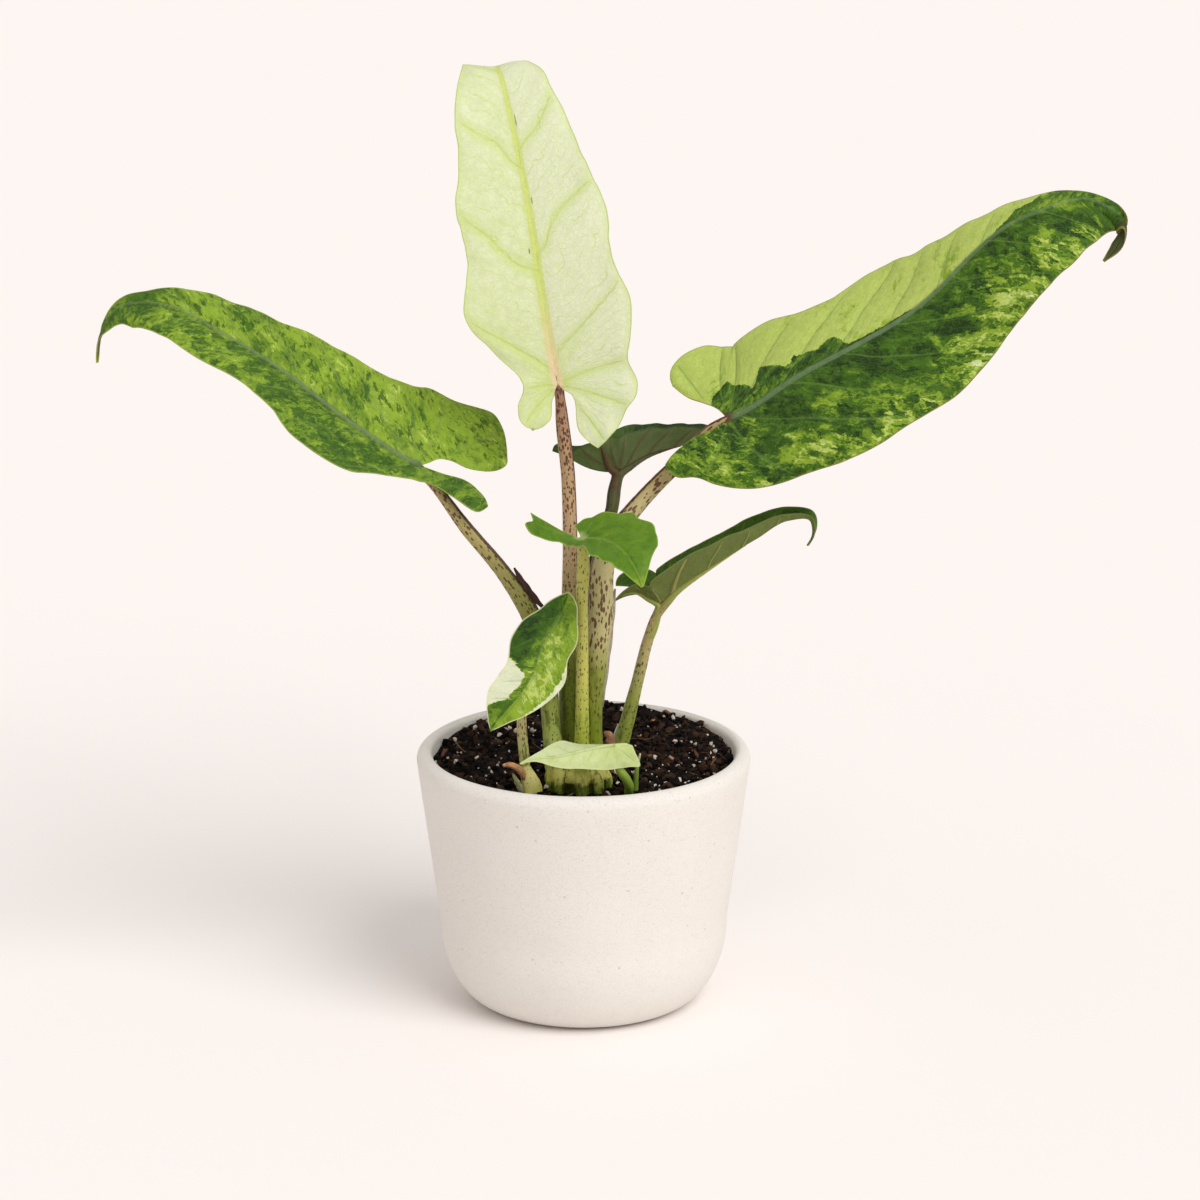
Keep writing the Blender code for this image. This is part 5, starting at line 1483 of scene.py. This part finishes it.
def blade(name, leaf, look, settings):
    """A whole blade: two halves joined at the midrib, shaped by their veins, and given a thickness."""
    halves = [half_blade(f"{name}_{side}", leaf, side, sign) for side, sign in (("left", -1), ("right", 1))]
    piece = join(halves, name)
    in_edit_mode(piece, merge, face_out)
    mesh = piece.data
    out, ahead, _ = painted(mesh, "blade_place").T
    rim = painted(mesh, "rim_gap")
    _, up = blade_frame(leaf, out, ahead)
    normals = normals_of(mesh)
    if (normals * up).sum() < 0:
        in_edit_mode(piece, bpy.ops.mesh.flip_normals)
        normals = normals_of(mesh)
    phase, pitch = vein_field(leaf, out, ahead)
    gap = np.abs(phase - np.round(phase)) * pitch
    towards_tip = np.clip(ahead / blade_length(leaf), 0, 1)
    fade = smooth(rim, 0.5, leaf.get("vein_reach", 9.0)) * (1 - 0.6 * towards_tip)
    rib = np.where(ahead < -0.5, 0.05, leaf["rib"][0] * (1 - towards_tip) + leaf["rib"][1] * towards_tip)
    across = np.abs(out)
    puff = settings.veins * leaf["quilt"] * (1 - np.exp(-((gap / 3.2) ** 2)))
    puff = puff * smooth(rim, 0, 5) * smooth(across, 0.5, 6)
    ripple = leaf["wave"] * np.sin(2 * math.pi * phase + 0.8) * smooth(rim, 10, 0) * smooth(across, 3, 14)
    frill = 0.1 * leaf["wave"] * np.sin(5.2 * math.pi * phase + 2.0)
    frill = frill * smooth(rim, 5, 0) * smooth(across, 3, 12)
    uneven = 0.5 * leaf["quilt"] * fbm(flat_places(out, ahead), 9.0, 2, len(name))
    raised = np.exp(-((across / rib) ** 4)) - 0.8 * np.exp(-(((across - 1.9 * rib) / rib) ** 2))
    raised *= leaf.get("ridge", 0.3)
    height = puff + ripple + frill + uneven * smooth(rim, 0, 4) * smooth(across, 0, 5) + raised
    move_to(mesh, places_of(mesh) + normals * height[:, None] * MM)

    thin = piece.vertex_groups.new(name="Thickness")
    for index, share in enumerate(MARGIN_THICKNESS + (1 - MARGIN_THICKNESS) * smooth(rim, 0, MARGIN_WIDTH)):
        thin.add([index], share, "REPLACE")
    single = len(mesh.vertices)
    apply_modifier(piece, "SOLIDIFY", thickness=settings.thickness, offset=0.0, vertex_group="Thickness",
                   thickness_vertex_group=0.0)
    piece.vertex_groups.clear()
    mesh = piece.data
    points = places_of(mesh)
    first_is_lower = ((points[:single] - points[single:2 * single]) * normals).sum() < 0
    below = np.zeros(len(points))
    below[:single] = first_is_lower
    below[single:2 * single] = not first_is_lower
    keel = leaf["rib"][0] * 0.62 * (1 - 0.75 * towards_tip) * np.exp(-((across / (0.75 * rib + 0.35)) ** 2))
    cords = leaf.get("cord", 0.5 * leaf["quilt"]) * np.exp(-((gap / 0.6) ** 2)) * smooth(rim, 0.3, 5)
    drop = twice(keel * smooth(ahead, -3, 4) + cords * smooth(across, 0.0, 2.0)) * below
    move_to(mesh, points - twice(normals) * drop[:, None] * MM)
    tone = patches_of(look["patches"], out, ahead, np.where(out < 0, *look["tone"]))
    bright = np.clip(patches_of(look.get("bright", []), out, ahead, 0.15), 0, 1)
    pane_gap, pane_tone = pane_of(look.get("panes", []), out, ahead)
    for attribute, values in (("vein_phase", phase), ("vein_pitch", pitch), ("vein_fade", fade),
                              ("rib_width", rib), ("tone", tone), ("bright", bright),
                              ("pane_gap", pane_gap), ("pane_tone", pane_tone)):
        paint(mesh, attribute, twice(values))
    paint(mesh, "underside", below)
    in_edit_mode(piece, face_out)
    return piece


class ALOCASIA_OT_blades(bpy.types.Operator):
    """Makes the eight leaf blades"""

    bl_idname = "alocasia.blades"
    bl_label = "Leaf blades"

    def execute(self, context):
        settings = context.scene.alocasia_blades
        for name, leaf in LEAVES.items():
            piece = blade(name.capitalize() + "_surface", leaf, LOOKS[name], settings)
            skin = blade_finish(name + "_skin", LOOKS[name], settings, leaf["veins"][2])
            finish_piece(piece, skin, name.replace("_leaf", "_blade"), name + "_blade", angle=70)
        return {"FINISHED"}


# ---------------------------------------------------------------- stalks and shoots

def stem(name, route, sides, spacing=1.0, flat=0.0):
    """A tapering stem along a route of (x, y, z, radius), from a grid that is rolled up and bent."""
    length = knots_of(route)[-1]
    piece, share, turn = grid(name, max(8, round(length / spacing)), sides)
    turn = turn * 2 * math.pi
    centre = along(route, share)
    tangent = heading(route, share, 0.01)
    right = unit(np.cross((0, 1, 0), tangent))
    front = np.cross(right, tangent)
    across, deep = np.cos(turn) * centre[:, 3], np.sin(turn) * centre[:, 3]
    oval = 1 + flat * np.cos(2 * turn)
    offset = (across * oval)[:, None] * right + deep[:, None] * front
    move_to(piece.data, (centre[:, :3] + offset) * MM)
    for attribute, values in (("skin_place", np.stack([across, deep, share * length], axis=1)),
                              ("share", share), ("turn_x", np.cos(turn)), ("turn_y", np.sin(turn))):
        paint(piece.data, attribute, values)
    in_edit_mode(piece, merge, lambda: bpy.ops.mesh.fill_holes(sides=0), face_out)
    return piece


def read_stops(stops, share, item):
    """Reads one item of a list of stops, each led by its place, at shares of the way along."""
    places = [stop[0] for stop in stops]
    values = np.array([np.atleast_1d(item(stop)) for stop in stops], float)
    return np.stack([np.interp(share, places, values[:, i]) for i in range(values.shape[1])], axis=1)


def tint_of(skin, share):
    return read_stops(skin["skin"], share, lambda stop: srgb(*stop[1]))


def paint_skin(mesh, skin):
    """Stores a stalk's tint, speckling and dark edge at its vertices."""
    share = painted(mesh, "share")
    around = np.degrees(np.arctan2(painted(mesh, "turn_y"), painted(mesh, "turn_x")))
    paint_tint(mesh, tint_of(skin, share))
    paint(mesh, "speckle", read_stops(skin["skin"], share, lambda stop: stop[2]))
    angle, half_width, foot, top = skin["edge"]
    apart = np.abs((around - angle + 180) % 360 - 180)
    strength = foot + (top - foot) * smooth(share, 0.1, 0.75)
    paint(mesh, "edge", strength * smooth(apart, half_width * 1.5, half_width * 0.5))


def keel_routes(leaf):
    """The stalk's route, run on under the midrib, and any ribs that leave its top for the lobes."""
    stalk = list(leaf["stalk"])
    keels = leaf.get("keels")
    if keels:
        stalk.pop()
    else:
        keels = [[(0, ahead, share * stalk[-1][3]) for ahead, share in PLAIN_KEEL]]
    for index, keel in enumerate(keels):
        out, ahead, radius = np.array(keel, float).T
        points, up = blade_frame(leaf, out, ahead)
        points = points - up * (leaf.get("keel_depth", 0.75) * radius)[:, None]
        run_on = [(*point, width) for point, width in zip(points, radius)]
        yield (stalk if index == 0 else stalk[-2:]) + run_on


class ALOCASIA_OT_stalks(bpy.types.Operator):
    """Makes the eight leaf stalks"""

    bl_idname = "alocasia.stalks"
    bl_label = "Leaf stalks"

    def execute(self, context):
        settings = context.scene.alocasia_stalks
        for name, leaf in LEAVES.items():
            title = name.capitalize() + "_petiole"
            main_stem, *ribs = [stem(title, route, settings.sides, 1.2, 0.03) for route in keel_routes(leaf)]
            for rib in ribs:
                paint_all(rib.data, "share", 0.98)
            piece = join([main_stem, *ribs], title)
            roughen(piece, 0.07, 1.6, 2, len(name), 0.12)
            paint_skin(piece.data, SKINS[name])
            skin = stalk_finish(name + "_stalk_skin", SKINS[name], settings)
            finish_piece(piece, skin, name.replace("_leaf", "_stalk"), name + "_stalk", angle=70)
        return {"FINISHED"}


def rootstock_parts():
    """The crown, the feet of its five stalks and its root stubs, before they are fused."""
    body = lathe("Rootstock_body", [(radius, CROWN_TOP + height) for radius, height in CROWN_RINGS], 72)
    places = places_of(body.data) / MM
    places[:, :2] = places[:, :2] * (1.0, CROWN_OVAL) + CROWN_MIDDLE
    move_to(body.data, places * MM)
    yield body
    for name in FOOT_STALKS:
        heights, growth = zip(*SHEATH_GROWTH)
        centre = curve_at(LEAVES[name]["stalk"], np.array(heights, float))
        route = [(*point[:3], point[3] + grow) for point, grow in zip(centre, growth)]
        x, y, _, radius = route[0]
        yield stem("Rootstock_sheath", [(x, y, CROWN_TOP - 6, radius), *route], 24)
    for angle, distance, radius in ROOT_STUBS:
        turn = math.radians(angle)
        x, y = math.cos(turn), math.sin(turn) * CROWN_OVAL
        route = [((distance + further) * x + CROWN_MIDDLE[0], (distance + further) * y + CROWN_MIDDLE[1],
                  height, radius * share) for further, height, share in STUB_PROFILE]
        yield stem("Rootstock_stub", route, 20)


class ALOCASIA_OT_rootstock(bpy.types.Operator):
    """Makes the rootstock with its root stubs"""

    bl_idname = "alocasia.rootstock"
    bl_label = "Rootstock"

    def execute(self, context):
        settings = context.scene.alocasia_stalks
        piece = join(list(rootstock_parts()), "Rootstock_foot")
        apply_modifier(piece, "REMESH", mode="VOXEL", voxel_size=settings.fuse)
        in_edit_mode(piece, lambda: bpy.ops.mesh.vertices_smooth(factor=0.5, repeat=5), face_out)
        roughen(piece, 0.22, 3.0, 2, 4.0)
        points = places_of(piece.data) / MM
        height = points[:, 2]

        # Each point takes the tint of its nearest stalk, and gets painted shade where two of them meet
        tint, nearest, second = 0 * points, np.full(len(points), 1e3), np.full(len(points), 1e3)
        for name in FOOT_STALKS:
            stalk = np.asarray(LEAVES[name]["stalk"], float)
            foot, top = stalk[0, 2], stalk[-1, 2]
            axis = curve_at(stalk, np.clip(height - foot, 0, 40))
            gap = np.linalg.norm(points[:, :2] - axis[:, :2], axis=1) - axis[:, 3]
            shade = tint_of(SKINS[name], np.clip((height - foot) / (top - foot), 0, 1))
            tint = np.where((gap < nearest)[:, None], shade, tint)
            second = np.minimum(second, np.maximum(gap, nearest))
            nearest = np.minimum(nearest, gap)
        seam_shade = np.exp(-(((second - nearest) / 0.7) ** 2)) * smooth(height, 99, 106)
        for share, none_at, full_at, shade in CROWN_TINTS:
            weight = (share * smooth(height, none_at, full_at))[:, None]
            tint = tint * (1 - weight) + np.array(srgb(*shade)) * weight
        # Darker towards the soil, along a ragged line
        low_darkening = 0.5 * smooth(height + 4.0 * fbm(points, 2.4, 3, 9.0), 105.4, 102.4)
        # Painted shade under the crown between the root stubs, so that the gaps read as deep and dark
        reach = np.linalg.norm((points[:, :2] - CROWN_MIDDLE) / (1.0, CROWN_OVAL), axis=1)
        undercut_shade = smooth(reach, 12.9, 11.9) * smooth(height, 105.2, 103.6)
        paint(piece.data, "skin_place", points)
        paint_tint(piece.data, tint)
        paint_all(piece.data, "speckle", 0.22)
        # The dark edge here holds the painted shade where stalks meet and under the crown, and the darkening
        # near the soil
        paint(piece.data, "edge", np.clip(0.6 * seam_shade + np.maximum(low_darkening, undercut_shade), 0, 1))
        skin = stalk_finish("rootstock_skin", SKINS["rootstock"], settings)
        finish_piece(piece, skin, "rootstock", "rootstock")
        return {"FINISHED"}


def bulb_route():
    """The bulb's route from its foot up, leaning to the left at its neck."""
    return [(BULB_CENTRE[0] - BULB_LEAN * smooth(height, 100, 113), BULB_CENTRE[1], height, radius)
            for radius, height in BULB_PROFILE]


class ALOCASIA_OT_shoots(bpy.types.Operator):
    """Makes the offset bulb and the two young shoots"""

    bl_idname = "alocasia.shoots"
    bl_label = "Bulb and shoots"

    def execute(self, context):
        settings = context.scene.alocasia_stalks
        for title, route, sides, spacing, slot, node in (
                ("Offset_bulb", bulb_route(), 30, 0.9, "bulb", "offset_bulb"),
                ("Sprout", SPROUT, 18, 0.8, "sprout", "right_sprout"),
                ("White_shoot", SPEAR, 18, 0.8, "white_spear", "white_spear")):
            piece = stem(title, route, sides, spacing)
            paint_skin(piece.data, SKINS[node])
            skin = stalk_finish(node + "_skin", SKINS[node], settings)
            finish_piece(piece, skin, slot, node, angle=60)
        curl = stem("Curled_scale", CURLED_SCALE, 20, 0.5, 0.12)
        roughen(curl, 0.2, 0.9, 2, 3.0)
        paint(curl.data, "edge", 1 - 0.9 * smooth(painted(curl.data, "share"), 0, 0.3))
        skin = dry_finish("curled_scale_skin", CURLED_SCALE_COLOUR)
        finish_piece(curl, skin, "orange_scale", "brown_scale_left", angle=60)
        return {"FINISHED"}


def scale_strip(name, route, facing, curl):
    """A dry, curled scale: a strip along a route, rolled across, with a thickness."""
    piece, share, across = grid(name, 36, 12)
    across = 2 * across - 1
    centre = along(route, share)
    tangent = heading(route, share, 0.02)
    side = unit(np.cross(tangent, facing))
    face = np.cross(side, tangent)
    bend = np.radians(curl)
    width = centre[:, 3] / np.sin(bend)
    ragged = 1 + 0.12 * np.sin(share * 23 + across * 3)
    offset = (np.sin(across * bend) * width * ragged)[:, None] * side
    offset += ((np.cos(across * bend) - 1) * width)[:, None] * face
    move_to(piece.data, (centre[:, :3] + offset) * MM)
    paint(piece.data, "skin_place", np.stack([across * 2, 0 * share, share * knots_of(route)[-1]], axis=1))
    paint(piece.data, "edge", np.maximum(np.abs(2 * share - 1), np.abs(across) * 0.9))
    in_edit_mode(piece, merge, face_out)
    apply_modifier(piece, "SOLIDIFY", thickness=SCALE_THICKNESS * MM, offset=0.0)
    in_edit_mode(piece, face_out)
    return piece


class ALOCASIA_OT_scales(bpy.types.Operator):
    """Makes the dry scales on the stalks and at their foot"""

    bl_idname = "alocasia.scales"
    bl_label = "Dry scales"

    def execute(self, context):
        for node, (route, facing, curl, shade, slot) in SCALES.items():
            piece = scale_strip(node.capitalize() + "_strip", route, facing, curl)
            finish_piece(piece, dry_finish(node + "_skin", shade), slot, node, angle=60)
        return {"FINISHED"}


# ---------------------------------------------------------------- stage

class ALOCASIA_OT_stage(bpy.types.Operator):
    """Makes the floor, the studio light and the camera"""

    bl_idname = "alocasia.stage"
    bl_label = "Stage"

    def execute(self, context):
        settings = context.scene.alocasia_stage
        select_only()
        bpy.ops.mesh.primitive_circle_add(vertices=96, radius=FLOOR_RADIUS, fill_type="NGON",
                                          location=(0, 0, -0.0002))
        floor = named("Studio_floor")
        floor.data.materials.append(floor_finish(settings))

        world = bpy.data.worlds.new("Studio")
        world.use_nodes = True
        background = world.node_tree.nodes["Background"].inputs
        background["Color"].default_value = SURROUND_COLOUR
        background["Strength"].default_value = settings.surround
        context.scene.world = world

        bpy.ops.object.light_add(type="SUN", location=KEY_PLACE)
        key = named("Key")
        key.data.energy = settings.key
        key.data.angle = math.radians(KEY_SOFTNESS)
        key.rotation_euler = Vector(KEY_DIRECTION).to_track_quat("-Z", "Y").to_euler()

        bpy.ops.object.camera_add(location=CAMERA_PLACE, rotation=(math.pi / 2 - settings.tilt, 0, 0))
        camera = named("Camera")
        camera.data.lens = settings.lens
        camera.data.sensor_width = 36
        camera.data.clip_end = 50
        context.scene.camera = camera
        context.scene.view_settings.view_transform = "Standard"
        return {"FINISHED"}


class ALOCASIA_PT_sidebar(bpy.types.Panel):
    """Lists the pieces and their settings"""

    bl_label = "Potted Alocasia"
    bl_idname = "ALOCASIA_PT_sidebar"
    bl_space_type = "VIEW_3D"
    bl_region_type = "UI"
    bl_category = "Alocasia"

    def draw(self, context):
        for holder, (_, *operators) in GROUPS.items():
            box = self.layout.box()
            for operator in operators:
                box.operator(operator.bl_idname)
            settings = getattr(context.scene, holder)
            for name in settings.__annotations__:
                box.prop(settings, name)


# What the scene calls each group of settings, its class, and the operators that read it
GROUPS = {
    "alocasia_stoneware": (StonewareSettings, ALOCASIA_OT_pot),
    "alocasia_soil": (SoilSettings, ALOCASIA_OT_soil),
    "alocasia_blades": (BladeSettings, ALOCASIA_OT_blades),
    "alocasia_stalks": (StalkSettings, ALOCASIA_OT_stalks, ALOCASIA_OT_rootstock, ALOCASIA_OT_shoots,
                        ALOCASIA_OT_scales),
    "alocasia_stage": (StageSettings, ALOCASIA_OT_stage),
}
CLASSES = [kind for kinds in GROUPS.values() for kind in kinds] + [ALOCASIA_PT_sidebar]


def register():
    for kind in CLASSES:
        bpy.utils.register_class(kind)
    for holder, (kind, *_) in GROUPS.items():
        setattr(bpy.types.Scene, holder, PointerProperty(type=kind))


def unregister():
    for holder in GROUPS:
        delattr(bpy.types.Scene, holder)
    for kind in reversed(CLASSES):
        bpy.utils.unregister_class(kind)


def main():
    """Builds every piece in order."""
    register()
    bpy.ops.alocasia.stage()
    bpy.ops.alocasia.pot()
    bpy.ops.alocasia.soil()
    bpy.ops.alocasia.rootstock()
    bpy.ops.alocasia.blades()
    bpy.ops.alocasia.stalks()
    bpy.ops.alocasia.shoots()
    bpy.ops.alocasia.scales()


if __name__ == "__main__":
    main()
